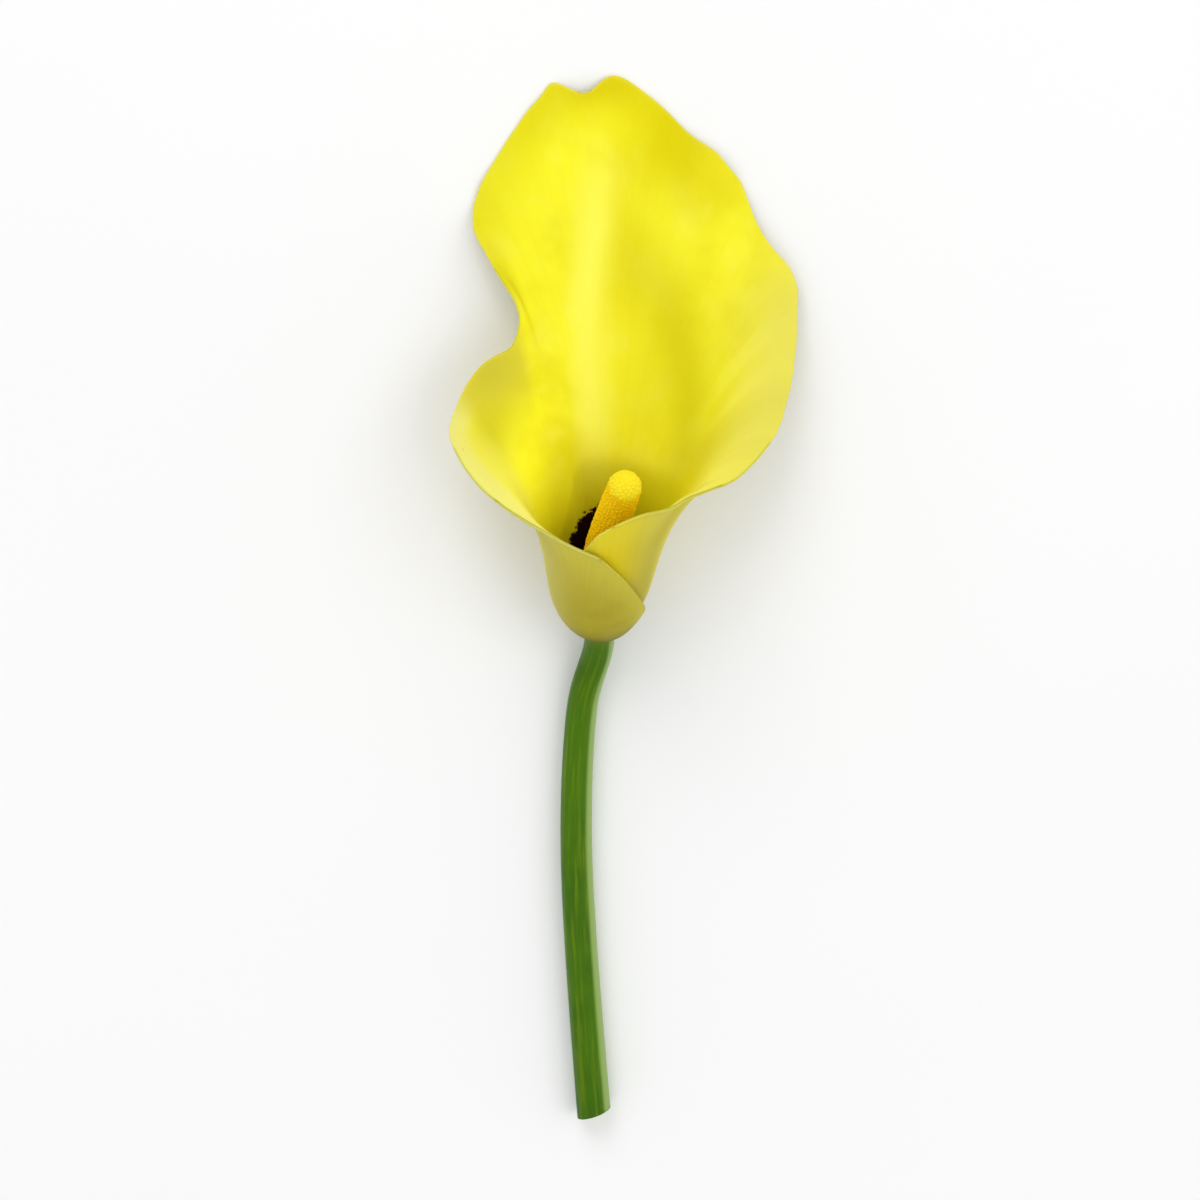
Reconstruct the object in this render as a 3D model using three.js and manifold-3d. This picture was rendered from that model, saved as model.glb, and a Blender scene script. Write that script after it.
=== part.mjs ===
// Arum lily flower, picked and laid on its back: a rolled yellow spathe, the spadix in its
// throat and a length of stem. Millimetres, +Z up. +Y runs from the cut end of the stem to the
// tip of the spathe. The origin is on the surface, under the middle of the flower's box.
//
// The bloom has a frame of its own: z up the tube from its base, y towards the back, where the
// tip is, and x to the right of somebody who looks into the mouth. A turn is an angle round the
// tube, 0 at the back, positive to the right and 180 in front.

import * as THREE from 'three';
import { mergeVertices } from 'three/addons/utils/BufferGeometryUtils.js';
import Module from 'manifold-3d';

// How the flower lies: where the base of its tube is, and how the bloom is tipped and turned.
const BASE = new THREE.Vector3(-5.5, -2.6, 10.1);
const TIPPED_BACK = THREE.MathUtils.degToRad(56.26);
const TURNED_RIGHT = THREE.MathUtils.degToRad(3.4);
const SPUN = THREE.MathUtils.degToRad(1.15);

// The tube: a round base that swells from a narrow foot and then widens slowly. Above its foot
// it stands TUBE_LEAN further left. The sheet follows the tube up to WALL_SHARE of the height
// of its rim, but hardly above TUBE_TOP.
const FOOT_RADIUS = 3.2;
const BULB_SWELL = 8.1;
const BULB_HEIGHT = 9;
const WIDENING = 0.05;
const TUBE_LEAN = 0.75;
const LEAN_HEIGHT = 6;
const WALL_SHARE = 0.74;
const TUBE_TOP = 31;

// The sheet: its thickness, and how the left flap wraps outside the right one in front.
const SHEET_AT_BASE = 1.0;
const SHEET_AT_RIM = 0.7;
const LAP_SHIFT = 0.8;
const LAP_FROM = 80;
const LAP_OVER = 60;
const WRAPPED_FROM = 165;
const WRAPPED_OVER = 20;
const LOOSE_FROM = 200;
const LOOSE_OVER = 110;
const LOOSENING = 0.3;

// The rim, from the left flap's free corner round the back to the right flap's. Where a flap is
// wrapped round the tube, a turn and a height are enough.
const LEFT_FLAP = [[-310, 1.5], [-270, 5.5], [-247, 10.5], [-225, 19], [-205, 27.8], [-185, 35.5]];
const RIGHT_FLAP = [[185, 45.4], [200, 39], [225, 26], [270, 3]];
const FLAP_RISE = 0.85;

// The open rim: turn, then right, back and height of the edge, then the height up to which the
// sheet follows the tube, then how steeply the sheet climbs inwards from the edge, in degrees.
const OPEN_RIM = [
  [-170, -2.3, -13.8, 38.6, 34.5, -75],
  [-155, -8.8, -11.8, 40.3, 40, -65],
  [-130, -23, 0, 38.5, 43, 0],
  // left lobe
  [-112, -30.3, 9.4, 38.4, 43.5, 25],
  [-95, -33.9, 18.5, 41, 42.5, 30],
  [-80, -31, 24.5, 47.5, 40, -10],
  [-73, -27.3, 28, 51.7, 39.5, -13],
  // left hollow
  [-66, -21.5, 30.5, 55, 39, -15],
  [-50, -20.5, 36.5, 59.5, 43, 15],
  // left shoulder
  [-23, -27, 46.5, 64.5, 53, 32],
  [-16, -30.5, 56.5, 68, 57, 33],
  [-10.5, -24.4, 65.2, 79.3, 58, 0],
  // tip
  [-5.5, -14.2, 73.1, 91.6, 58, -30],
  [-1.8, -8.4, 73.8, 92.7, 58, -31],
  [3, -1, 73.9, 93, 58, -32],
  [14, 9.3, 69.8, 87.4, 58, -21],
  [18, 15.3, 66.3, 83.3, 57.7, -18],
  [21.5, 19.8, 64.6, 81, 57.5, -15],
  // right shoulder
  [24.5, 24.3, 61.6, 77.5, 57.2, -12],
  [27, 26.3, 60.5, 75.3, 57, -10],
  [31.5, 29.3, 55.6, 69.5, 56, -5],
  [36, 33.1, 51.7, 65.3, 55, 0],
  [42, 37.2, 49.2, 61.7, 53, 10],
  [48, 39, 45.5, 57, 51, 20],
  // right lobe
  [62, 38.9, 34.8, 49.4, 48, 33],
  [78, 36, 21.6, 41.9, 44.5, 30],
  [100, 27.4, 9.2, 39.2, 43, 14],
  [126, 17.6, 1.3, 41.8, 44, -5],
  [140, 12.4, -5.1, 45.1, 46.5, -45],
  [152, 6.6, -10.8, 49.6, 46, -80],
];

// How far in from the edge that climb is kept, as a share of the way to the tube and at most.
const EDGE_SHARE = 0.22;
const EDGE_REACH = 8;

// The sheet is then evened out, as a leaf pulled tight: fully on the open blade, and not at all
// near the base, on the rim itself and where the flaps are wrapped.
const EVEN_PASSES = 10;
const EVEN_FROM_ROW = 5;
const EVEN_IN_ROWS = 4;
const EVEN_TO_TURN = 90;
const EVEN_FADE_TURN = 35;

// A shallow notch in the rim, just left of the highest point.
const NOTCH_TURN = -1.8;
const NOTCH_HALF_TURN = 2.6;
const NOTCH_DEPTH = 3.7;
const NOTCH_FADE = 7;

// The mesh of the sheet.
const RIM_STEP = 4;
const TUBE_ROWS = 8;
const TUBE_ROW_POWER = 1.4;
const BLADE_ROWS = 12;

// The solid foot that closes the tube: radius and height from its underside to its top.
const FOOT_PROFILE = [
  [0, -1.2], [3.3, -1.2], [3.6, -0.4], [3.85, 0], [4.55, 1], [5.2, 2], [5.75, 3], [0, 3],
];
const FOOT_SIDES = 32;

// The spadix: its middle line, where the ovaries stop and the stamens start, and its grain.
const SPADIX_LINE = [
  [0, 0, 3.3], [-0.6, 0, 16], [-0.2, -0.5, 28], [1.5, -1.2, 40], [2.7, -1.8, 47.5], [3.1, -2.1, 51.4],
];
const OVARY_SHARE = 0.25;
const ZONE_GAP_SHARE = 0.006;
const OVARY_RADIUS = 3.6;
const OVARY_RELIEF = 0.9;
const OVARY_ROWS = 11;
const OVARY_SIDES = 20;
const STAMEN_RADIUS = [4.2, 3.2];
const STAMEN_RELIEF = 0.35;
const STAMEN_ROWS = 42;
const STAMEN_SIDES = 26;
const DOME_SHARE = 0.07;

// The stem: its sway on the surface, right and forward of BASE, from the bloom to the cut end.
const STEM_SWAY = [
  [0, 0], [-0.6, -7], [-3, -15.5], [-4.6, -27], [-5.4, -50], [-4.2, -80], [-2, -112],
];
const STEM_RADIUS_TOP = 3.2;
const STEM_RADIUS_CUT = 3.7;
const STEM_TOP_GAP = 1.5;
const STEM_SIDES = 16;
const STEM_STEPS = 34;
const CUT_SLANT = 0.25;

const YELLOW = { color: 0xf2e433, roughness: 0.5, metalness: 0 };
const GOLD = { color: 0xf0c416, roughness: 0.8, metalness: 0 };
const PALE_GREEN = { color: 0xc3cf7a, roughness: 0.6, metalness: 0 };
const GREEN = { color: 0x4d7a1c, roughness: 0.4, metalness: 0 };

const wasm = await Module();
wasm.setup();

function smoothStep(x) {
  const k = Math.min(1, Math.max(0, x));
  return k * k * (3 - 2 * k);
}

// Radius of the tube at a height above its base.
function tubeRadius(height) {
  const swell = 1 - Math.exp(-Math.max(height, 0) / BULB_HEIGHT);
  return FOOT_RADIUS + BULB_SWELL * swell + WIDENING * height;
}

// How far the sheet stands outside or inside the plain tube where the two flaps overlap. Both
// flaps stand further off towards their free corners.
function lapShift(turn) {
  const share = smoothStep((Math.abs(turn) - LAP_FROM) / LAP_OVER);
  const loose = 1 + LOOSENING * Math.max(0, (Math.abs(turn) - LOOSE_FROM) / LOOSE_OVER);
  return -Math.sign(turn) * LAP_SHIFT * share * loose;
}

function wallPoint(turn, height) {
  const radius = tubeRadius(height) + lapShift(turn);
  const angle = THREE.MathUtils.degToRad(turn);
  const lean = TUBE_LEAN * (1 - Math.exp(-((height / LEAN_HEIGHT) ** 2)));
  return new THREE.Vector3(radius * Math.sin(angle) - lean, radius * Math.cos(angle), height);
}

function flapStation([turn, height]) {
  const edge = wallPoint(turn, height);
  return [turn, edge.x, edge.y, edge.z, height * FLAP_RISE, -90];
}

const STATIONS = [...LEFT_FLAP.map(flapStation), ...OPEN_RIM, ...RIGHT_FLAP.map(flapStation)];

// Slope of one column of the stations against the turn, from the neighbours on either side.
function stationSlope(index, column) {
  const before = STATIONS[Math.max(index - 1, 0)];
  const after = STATIONS[Math.min(index + 1, STATIONS.length - 1)];
  return (after[column] - before[column]) / (after[0] - before[0]);
}

// The rim at any turn: a smooth cubic through the stations, on the wall where it is wrapped.
function rimAt(turn) {
  let index = 0;
  while (index < STATIONS.length - 2 && turn > STATIONS[index + 1][0]) index += 1;
  const start = STATIONS[index];
  const end = STATIONS[index + 1];
  const span = end[0] - start[0];
  const t = (turn - start[0]) / span;
  const [x, y, z, rise, climb] = [1, 2, 3, 4, 5].map((column) => (
    start[column] * (2 * t ** 3 - 3 * t ** 2 + 1)
    + end[column] * (3 * t ** 2 - 2 * t ** 3)
    + span * stationSlope(index, column) * (t ** 3 - 2 * t ** 2 + t)
    + span * stationSlope(index + 1, column) * (t ** 3 - t ** 2)
  ));
  const wrapped = turn < LEFT_FLAP[LEFT_FLAP.length - 1][0] || turn > RIGHT_FLAP[0][0];
  const edge = wrapped ? wallPoint(turn, z) : new THREE.Vector3(x, y, z);
  return { edge, rise, climb: THREE.MathUtils.degToRad(climb) };
}

// The direction from the rim into the sheet: at right angles to the rim in plan, and climbing.
function inwardAt(turn) {
  const along = rimAt(turn + 1).edge.sub(rimAt(turn - 1).edge);
  const level = Math.hypot(along.x, along.y);
  const { climb } = rimAt(turn);
  const flat = Math.cos(climb) / level;
  return new THREE.Vector3(along.y * flat, -along.x * flat, Math.sin(climb));
}

// One line of the sheet, from the base of the tube up its wall and out to the rim.
function sheetLine(turn) {
  const { edge, rise } = rimAt(turn);
  const share = WALL_SHARE * edge.z;
  const wallTop = share / (1 + (share / TUBE_TOP) ** 4) ** 0.25;
  const leave = wallPoint(turn, wallTop);
  const pull = wallPoint(turn, Math.max(rise, wallTop));
  const reach = Math.min(EDGE_REACH, EDGE_SHARE * pull.distanceTo(edge));
  const inward = inwardAt(turn);
  const arrive = edge.clone().addScaledVector(inward, reach);
  const notch = NOTCH_DEPTH * Math.exp(-(((turn - NOTCH_TURN) / NOTCH_HALF_TURN) ** 2));
  const line = [];
  for (let row = 0; row < TUBE_ROWS; row += 1) {
    line.push(wallPoint(turn, wallTop * (row / TUBE_ROWS) ** TUBE_ROW_POWER));
  }
  for (let row = 0; row <= BLADE_ROWS; row += 1) {
    const u = row / BLADE_ROWS;
    line.push(new THREE.Vector3()
      .addScaledVector(leave, (1 - u) ** 3)
      .addScaledVector(pull, 3 * u * (1 - u) ** 2)
      .addScaledVector(arrive, 3 * u * u * (1 - u))
      .addScaledVector(edge, u ** 3)
      .addScaledVector(inward, notch * u ** NOTCH_FADE));
  }
  return line;
}

// The turns at which the sheet has a line, about RIM_STEP apart along the rim.
function sheetTurns() {
  const turns = [];
  for (let index = 0; index < STATIONS.length - 1; index += 1) {
    const [turn, ...start] = STATIONS[index];
    const [nextTurn, ...end] = STATIONS[index + 1];
    const length = Math.hypot(end[0] - start[0], end[1] - start[1], end[2] - start[2]);
    const count = Math.max(1, Math.round(length / RIM_STEP));
    for (let step = 0; step < count; step += 1) turns.push(turn + (nextTurn - turn) * step / count);
  }
  turns.push(STATIONS[STATIONS.length - 1][0]);
  return turns;
}

function meshGeometry(points, triangles) {
  const geometry = new THREE.BufferGeometry();
  const positions = points.flatMap((point) => point.toArray());
  geometry.setAttribute('position', new THREE.Float32BufferAttribute(positions, 3));
  geometry.setIndex(triangles.flat());
  return geometry;
}

// How freely a point of the sheet moves when the sheet is evened out, from 0 to 1.
function freedom(turn, row) {
  const open = 1 - smoothStep((Math.abs(turn) - EVEN_TO_TURN) / EVEN_FADE_TURN);
  const aboveBase = (row - EVEN_FROM_ROW) / EVEN_IN_ROWS;
  const belowRim = 2 * (TUBE_ROWS + BLADE_ROWS - row) / BLADE_ROWS;
  return open * Math.max(0, Math.min(1, aboveBase, belowRim));
}

// The middle surface of the sheet: a grid of points, one line of them for each turn.
function sheetGrid(turns) {
  let grid = turns.map(sheetLine);
  for (let pass = 0; pass < EVEN_PASSES; pass += 1) {
    grid = grid.map((line, c) => line.map((point, r) => {
      const free = freedom(turns[c], r);
      if (free === 0) return point;
      const middle = new THREE.Vector3()
        .add(grid[c - 1][r]).add(grid[c + 1][r]).add(line[r - 1]).add(line[r + 1])
        .divideScalar(4);
      return point.clone().lerp(middle, free);
    }));
  }
  return grid;
}

// The two faces of the sheet, each a grid of points half its thickness off the middle surface.
// On the wrapped flaps the thickness is taken straight towards the tube's axis.
function sheetFaces(turns, grid) {
  const lastColumn = grid.length - 1;
  const lastRow = grid[0].length - 1;
  const face = (side) => grid.map((line, c) => line.map((point, r) => {
    const along = grid[Math.min(c + 1, lastColumn)][r].clone().sub(grid[Math.max(c - 1, 0)][r]);
    const up = line[Math.min(r + 1, lastRow)].clone().sub(line[Math.max(r - 1, 0)]);
    const toAxis = new THREE.Vector3(-point.x, -point.y, 0).normalize();
    const wrapped = smoothStep((Math.abs(turns[c]) - WRAPPED_FROM) / WRAPPED_OVER);
    const inward = along.cross(up).normalize().lerp(toAxis, wrapped).normalize();
    const thickness = THREE.MathUtils.lerp(SHEET_AT_BASE, SHEET_AT_RIM, r / lastRow);
    return point.clone().addScaledVector(inward, side * thickness / 2);
  }));
  return [face(1), face(-1)];
}

// A closed solid from a run of the sheet's lines: both faces, alike in how they are split, and
// a strip along each of the four edges.
function stripGeometry(inner, outer) {
  const columns = inner.length;
  const rows = inner[0].length;
  const count = columns * rows;
  const at = (c, r) => c * rows + r;
  const triangles = [];
  const quad = (a, b, c, d) => triangles.push([a, b, c], [a, c, d]);
  for (let c = 0; c < columns - 1; c += 1) {
    for (let r = 0; r < rows - 1; r += 1) {
      const corners = [at(c, r), at(c + 1, r), at(c + 1, r + 1), at(c, r + 1)];
      quad(...corners);
      const [a, b, d, e] = corners.map((index) => index + count);
      triangles.push([a, d, b], [a, e, d]);
    }
    quad(at(c + 1, 0), at(c, 0), at(c, 0) + count, at(c + 1, 0) + count);
    const top = rows - 1;
    quad(at(c, top), at(c + 1, top), at(c + 1, top) + count, at(c, top) + count);
  }
  for (let r = 0; r < rows - 1; r += 1) {
    const last = columns - 1;
    quad(at(0, r + 1), at(0, r + 1) + count, at(0, r) + count, at(0, r));
    quad(at(last, r + 1), at(last, r), at(last, r) + count, at(last, r + 1) + count);
  }
  return meshGeometry([...inner.flat(), ...outer.flat()], triangles);
}

function toSolid(geometry) {
  geometry.deleteAttribute('normal');
  geometry.deleteAttribute('uv');
  const merged = mergeVertices(geometry, 1e-4);
  return new wasm.Manifold(new wasm.Mesh({
    numProp: 3,
    vertProperties: new Float32Array(merged.attributes.position.array),
    triVerts: new Uint32Array(merged.index.array),
  }));
}

function fromSolid(solid) {
  const { vertProperties, triVerts } = solid.getMesh();
  const geometry = new THREE.BufferGeometry();
  geometry.setAttribute('position', new THREE.BufferAttribute(new Float32Array(vertProperties), 3));
  geometry.setIndex(new THREE.BufferAttribute(new Uint32Array(triVerts), 1));
  return geometry;
}

// The spathe: the left flap, the open blade and the right flap, each a strip of the sheet, joined
// to each other and to the solid foot that closes them below.
function spatheGeometry() {
  const turns = sheetTurns();
  const [inner, outer] = sheetFaces(turns, sheetGrid(turns));
  const firstOpen = turns.indexOf(OPEN_RIM[0][0]);
  const lastOpen = turns.indexOf(OPEN_RIM[OPEN_RIM.length - 1][0]);
  const cuts = [0, firstOpen, lastOpen, turns.length - 1];
  const profile = FOOT_PROFILE.map(([radius, height]) => new THREE.Vector2(radius, height));
  let solid = toSolid(new THREE.LatheGeometry(profile, FOOT_SIDES).rotateX(Math.PI / 2));
  for (let i = 0; i < cuts.length - 1; i += 1) {
    const run = (face) => face.slice(cuts[i], cuts[i + 1] + 1);
    solid = solid.add(toSolid(stripGeometry(run(inner), run(outer))));
  }
  return fromSolid(solid);
}

// A closed solid through rings of points, with a middle point on each end. The faces are split
// so that each raised point of a grained ring is a grain by itself.
function ringSolid(rings, ends) {
  const sides = rings[0].length;
  const points = [...rings.flat(), ...ends];
  const [startPole, endPole] = [rings.length * sides, rings.length * sides + 1];
  const triangles = [];
  for (let i = 0; i < rings.length - 1; i += 1) {
    for (let j = 0; j < sides; j += 1) {
      const next = (j + 1) % sides;
      const [a, b] = [i * sides + j, i * sides + next];
      const [c, d] = [b + sides, a + sides];
      if ((i + j) % 2) triangles.push([a, b, c], [a, c, d]);
      else triangles.push([a, b, d], [b, c, d]);
    }
  }
  for (let j = 0; j < sides; j += 1) {
    const next = (j + 1) % sides;
    triangles.push([startPole, next, j]);
    triangles.push([endPole, (rings.length - 1) * sides + j, (rings.length - 1) * sides + next]);
  }
  return meshGeometry(points, triangles);
}

// A ring of points across a line at a share of its length.
function ringOn(curve, share, radiusOf, sides, slant = 0) {
  const middle = curve.getPointAt(share);
  const forward = curve.getTangentAt(share);
  const sideways = new THREE.Vector3(1, 0, 0).cross(forward).normalize();
  const across = sideways.clone().cross(forward);
  const ring = [];
  for (let j = 0; j < sides; j += 1) {
    const angle = 2 * Math.PI * j / sides;
    const radius = radiusOf(j);
    ring.push(middle.clone()
      .addScaledVector(across, radius * Math.cos(angle))
      .addScaledVector(sideways, radius * Math.sin(angle))
      .addScaledVector(forward, slant * radius * Math.cos(angle)));
  }
  return ring;
}

const spadixLine = new THREE.CatmullRomCurve3(SPADIX_LINE.map((p) => new THREE.Vector3(...p)));

function grainedZone(from, to, rows, sides, relief, radiusAt) {
  const rings = [];
  for (let i = 0; i <= rows; i += 1) {
    const share = from + (to - from) * i / rows;
    const raised = i > 0 && i < rows ? relief : 0;
    rings.push(ringOn(spadixLine, share, (j) => radiusAt(share) + ((i + j) % 2 ? 0 : raised), sides));
  }
  return ringSolid(rings, [spadixLine.getPointAt(from), spadixLine.getPointAt(to)]);
}

function ovaryGeometry() {
  const end = OVARY_SHARE - ZONE_GAP_SHARE / 2;
  return grainedZone(0, end, OVARY_ROWS, OVARY_SIDES, OVARY_RELIEF, () => OVARY_RADIUS);
}

function stamenGeometry() {
  const start = OVARY_SHARE + ZONE_GAP_SHARE / 2;
  const [low, high] = STAMEN_RADIUS;
  const radiusAt = (share) => {
    const body = THREE.MathUtils.lerp(low, high, (share - start) / (1 - start));
    const intoDome = Math.max(0, (share - (1 - DOME_SHARE)) / DOME_SHARE);
    return body * Math.sqrt(Math.max(0.06, 1 - intoDome ** 2));
  };
  return grainedZone(start, 1, STAMEN_ROWS, STAMEN_SIDES, STAMEN_RELIEF, radiusAt);
}

// Height of the stem's middle line: it leaves the bloom along the tube, bends on an arc down to
// the surface and then lies on it.
function stemHeight(along) {
  const slope = Math.PI / 2 - TIPPED_BACK;
  const bendRadius = (BASE.z - STEM_RADIUS_TOP) / (1 - Math.cos(slope));
  const sine = Math.max(0, Math.sin(slope) - along / bendRadius);
  const reach = -STEM_SWAY[STEM_SWAY.length - 1][1];
  const lying = THREE.MathUtils.lerp(STEM_RADIUS_TOP, STEM_RADIUS_CUT, along / reach);
  return lying + bendRadius * (1 - Math.sqrt(1 - sine * sine));
}

function stemGeometry() {
  const plan = new THREE.SplineCurve(STEM_SWAY.map(([x, y]) => new THREE.Vector2(x, y)));
  const line = new THREE.CatmullRomCurve3(plan.getSpacedPoints(2 * STEM_STEPS).map(({ x, y }) => (
    new THREE.Vector3(BASE.x + x, BASE.y + y, stemHeight(-y))
  )));
  const start = STEM_TOP_GAP / line.getLength();
  const rings = [];
  for (let i = 0; i <= STEM_STEPS; i += 1) {
    const share = start + (1 - start) * i / STEM_STEPS;
    const radius = THREE.MathUtils.lerp(STEM_RADIUS_TOP, STEM_RADIUS_CUT, share);
    rings.push(ringOn(line, share, () => radius, STEM_SIDES, i === STEM_STEPS ? CUT_SLANT : 0));
  }
  return ringSolid(rings, [line.getPointAt(start), line.getPointAt(1)]);
}

function namedMesh(name, geometry, finish) {
  geometry.computeVertexNormals();
  const mesh = new THREE.Mesh(geometry, new THREE.MeshStandardMaterial(finish));
  mesh.name = name;
  return mesh;
}

const bloom = new THREE.Group();
bloom.add(namedMesh('spathe', spatheGeometry(), YELLOW));
bloom.add(namedMesh('spadix_stamens', stamenGeometry(), GOLD));
bloom.add(namedMesh('spadix_ovaries', ovaryGeometry(), PALE_GREEN));
bloom.rotation.z = SPUN;

const tipped = new THREE.Group();
tipped.add(bloom);
tipped.rotation.x = -TIPPED_BACK;

const laid = new THREE.Group();
laid.add(tipped);
laid.rotation.z = -TURNED_RIGHT;
laid.position.copy(BASE);

const flower = new THREE.Group();
flower.add(laid);
flower.add(namedMesh('stem', stemGeometry(), GREEN));

export default flower;
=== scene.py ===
"""Arum lily flower, picked and laid on its back on a pale surface.

The bloom has a frame of its own, in millimetres: z up the tube from its base, y towards the back,
where the tip is, and x to the right of somebody who looks into the mouth. A turn is an angle round
the tube in degrees, 0 at the back, positive to the right and 180 in front. Finished meshes are in
metres, in the frame of the solids.
"""

import logging
import math
from dataclasses import dataclass, replace
from enum import Enum
from functools import partial, reduce

import bmesh
import bpy
import numpy as np
from mathutils import Matrix, Vector
from mathutils.kdtree import KDTree


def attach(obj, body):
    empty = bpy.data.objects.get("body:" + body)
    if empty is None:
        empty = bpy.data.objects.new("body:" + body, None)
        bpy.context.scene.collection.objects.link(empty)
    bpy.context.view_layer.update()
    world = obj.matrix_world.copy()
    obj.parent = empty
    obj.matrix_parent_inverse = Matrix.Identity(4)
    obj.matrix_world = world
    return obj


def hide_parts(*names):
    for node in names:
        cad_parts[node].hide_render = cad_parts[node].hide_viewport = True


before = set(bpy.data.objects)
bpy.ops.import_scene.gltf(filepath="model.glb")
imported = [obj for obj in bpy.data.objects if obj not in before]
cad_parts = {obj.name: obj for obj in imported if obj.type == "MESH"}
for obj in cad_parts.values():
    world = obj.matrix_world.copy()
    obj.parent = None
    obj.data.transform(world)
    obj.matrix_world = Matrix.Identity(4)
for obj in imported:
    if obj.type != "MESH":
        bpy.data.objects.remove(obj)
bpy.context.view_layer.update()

Socket = bpy.types.NodeSocket
Tint = tuple[float, float, float, float]
Rows = tuple[tuple[float, ...], ...]

LOG = logging.getLogger("arum_lily")
METRES_PER_MM = 0.001
WELD_DISTANCE = 1e-6
SHORTEST_LENGTH = 1e-12
GOLDEN_TURN = math.pi * (3 - math.sqrt(5))
HUMP_REACH = 1.5


class Slot(Enum):
    """Material slots of the record, one for each finish of the flower."""

    SPATHE = "spathe_skin"
    STAMENS = "stamens"
    OVARIES = "ovaries"
    STEM = "stem_skin"


class Node(Enum):
    """Solids that the visible pieces stand for."""

    SPATHE = "spathe"
    STAMENS = "spadix_stamens"
    OVARIES = "spadix_ovaries"
    STEM = "stem"


def smooth_step(value: np.ndarray) -> np.ndarray:
    """Rise smoothly from 0 to 1 as the value goes from 0 to 1."""
    held = np.clip(value, 0.0, 1.0)
    return held * held * (3 - 2 * held)


def bell(value: np.ndarray, middle: float, half_width: float) -> np.ndarray:
    """Give a bell curve: 1 at its middle and about a third at one half width from it."""
    return np.exp(-(((value - middle) / half_width) ** 2))


def unit(vectors: np.ndarray) -> np.ndarray:
    """Scale vectors along the last axis to length one."""
    return vectors / np.maximum(np.linalg.norm(vectors, axis=-1, keepdims=True), SHORTEST_LENGTH)


def lengths_along(line: np.ndarray) -> np.ndarray:
    """Give the length of a line from its start to each of its points."""
    return np.cumsum(np.linalg.norm(np.diff(line, axis=0, prepend=line[:1]), axis=1))


def refined(values: np.ndarray, steps: int) -> np.ndarray:
    """Run a natural cubic curve through rows of values.

    Args:
        values: Rows that the curve passes through, in order.
        steps: How many stretches each gap between two rows is split into.

    Returns:
        Rows on the curve, with the given rows among them.
    """
    count = len(values)
    bend_matrix = np.eye(count)
    load = np.zeros_like(values)
    for row in range(1, count - 1):
        bend_matrix[row, row - 1:row + 2] = (1, 4, 1)
        load[row] = 6 * (values[row - 1] - 2 * values[row] + values[row + 1])
    bend = np.linalg.solve(bend_matrix, load.reshape(count, -1)).reshape(values.shape)
    place = np.arange((count - 1) * steps + 1) / steps
    before = np.minimum(place.astype(int), count - 2)
    after_share = (place - before).reshape((-1,) + (1,) * (values.ndim - 1))
    before_share = 1 - after_share
    return (
        before_share * values[before]
        + after_share * values[before + 1]
        + (before_share**3 - before_share) / 6 * bend[before]
        + (after_share**3 - after_share) / 6 * bend[before + 1]
    )


def round_line(forward: np.ndarray, radii: np.ndarray, angles: np.ndarray) -> np.ndarray:
    """Give how far points on rings round a line stand from it.

    Args:
        forward: Directions of the line.
        radii: Distances from the line.
        angles: Angles round it.

    Returns:
        The offset of each point from the line.
    """
    side = unit(np.cross((1.0, 0.0, 0.0), forward))
    across = np.cross(side, forward)
    return radii[..., None] * (across * np.cos(angles)[..., None] + side * np.sin(angles)[..., None])


def put_in_scene(name: str, data: bpy.types.ID) -> bpy.types.Object:
    """Make an object of a mesh, a light or a camera and put it in the scene.

    Args:
        name: The object's name.
        data: What it shows.

    Returns:
        The object.
    """
    thing = bpy.data.objects.new(name, data)
    bpy.context.scene.collection.objects.link(thing)
    return thing


def closed_angles(sides: int) -> np.ndarray:
    """Give the angles of a ring's points, with the first one again at the end."""
    return np.append(np.linspace(0, 2 * math.pi, sides, endpoint=False), 0.0)


@dataclass(frozen=True)
class Lie:
    """How the bloom lies: its tube's base in the solids' frame, in millimetres, and turns in degrees."""

    base: tuple[float, float, float] = (-5.5, -2.6, 10.1)
    tipped_back: float = 56.26
    turned_right: float = 3.4
    spun: float = 1.15

    def turning(self) -> Matrix:
        """Return the rotation from the bloom's frame to the frame of the solids."""
        return (
            Matrix.Rotation(math.radians(-self.turned_right), 3, "Z")
            @ Matrix.Rotation(math.radians(-self.tipped_back), 3, "X")
            @ Matrix.Rotation(math.radians(self.spun), 3, "Z")
        )

    def placing(self) -> Matrix:
        """Return the placing of the bloom: from its frame in millimetres to metres."""
        place = Matrix.Translation(Vector(self.base) * METRES_PER_MM)
        return place @ self.turning().to_4x4() @ Matrix.Scale(METRES_PER_MM, 4)


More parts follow.
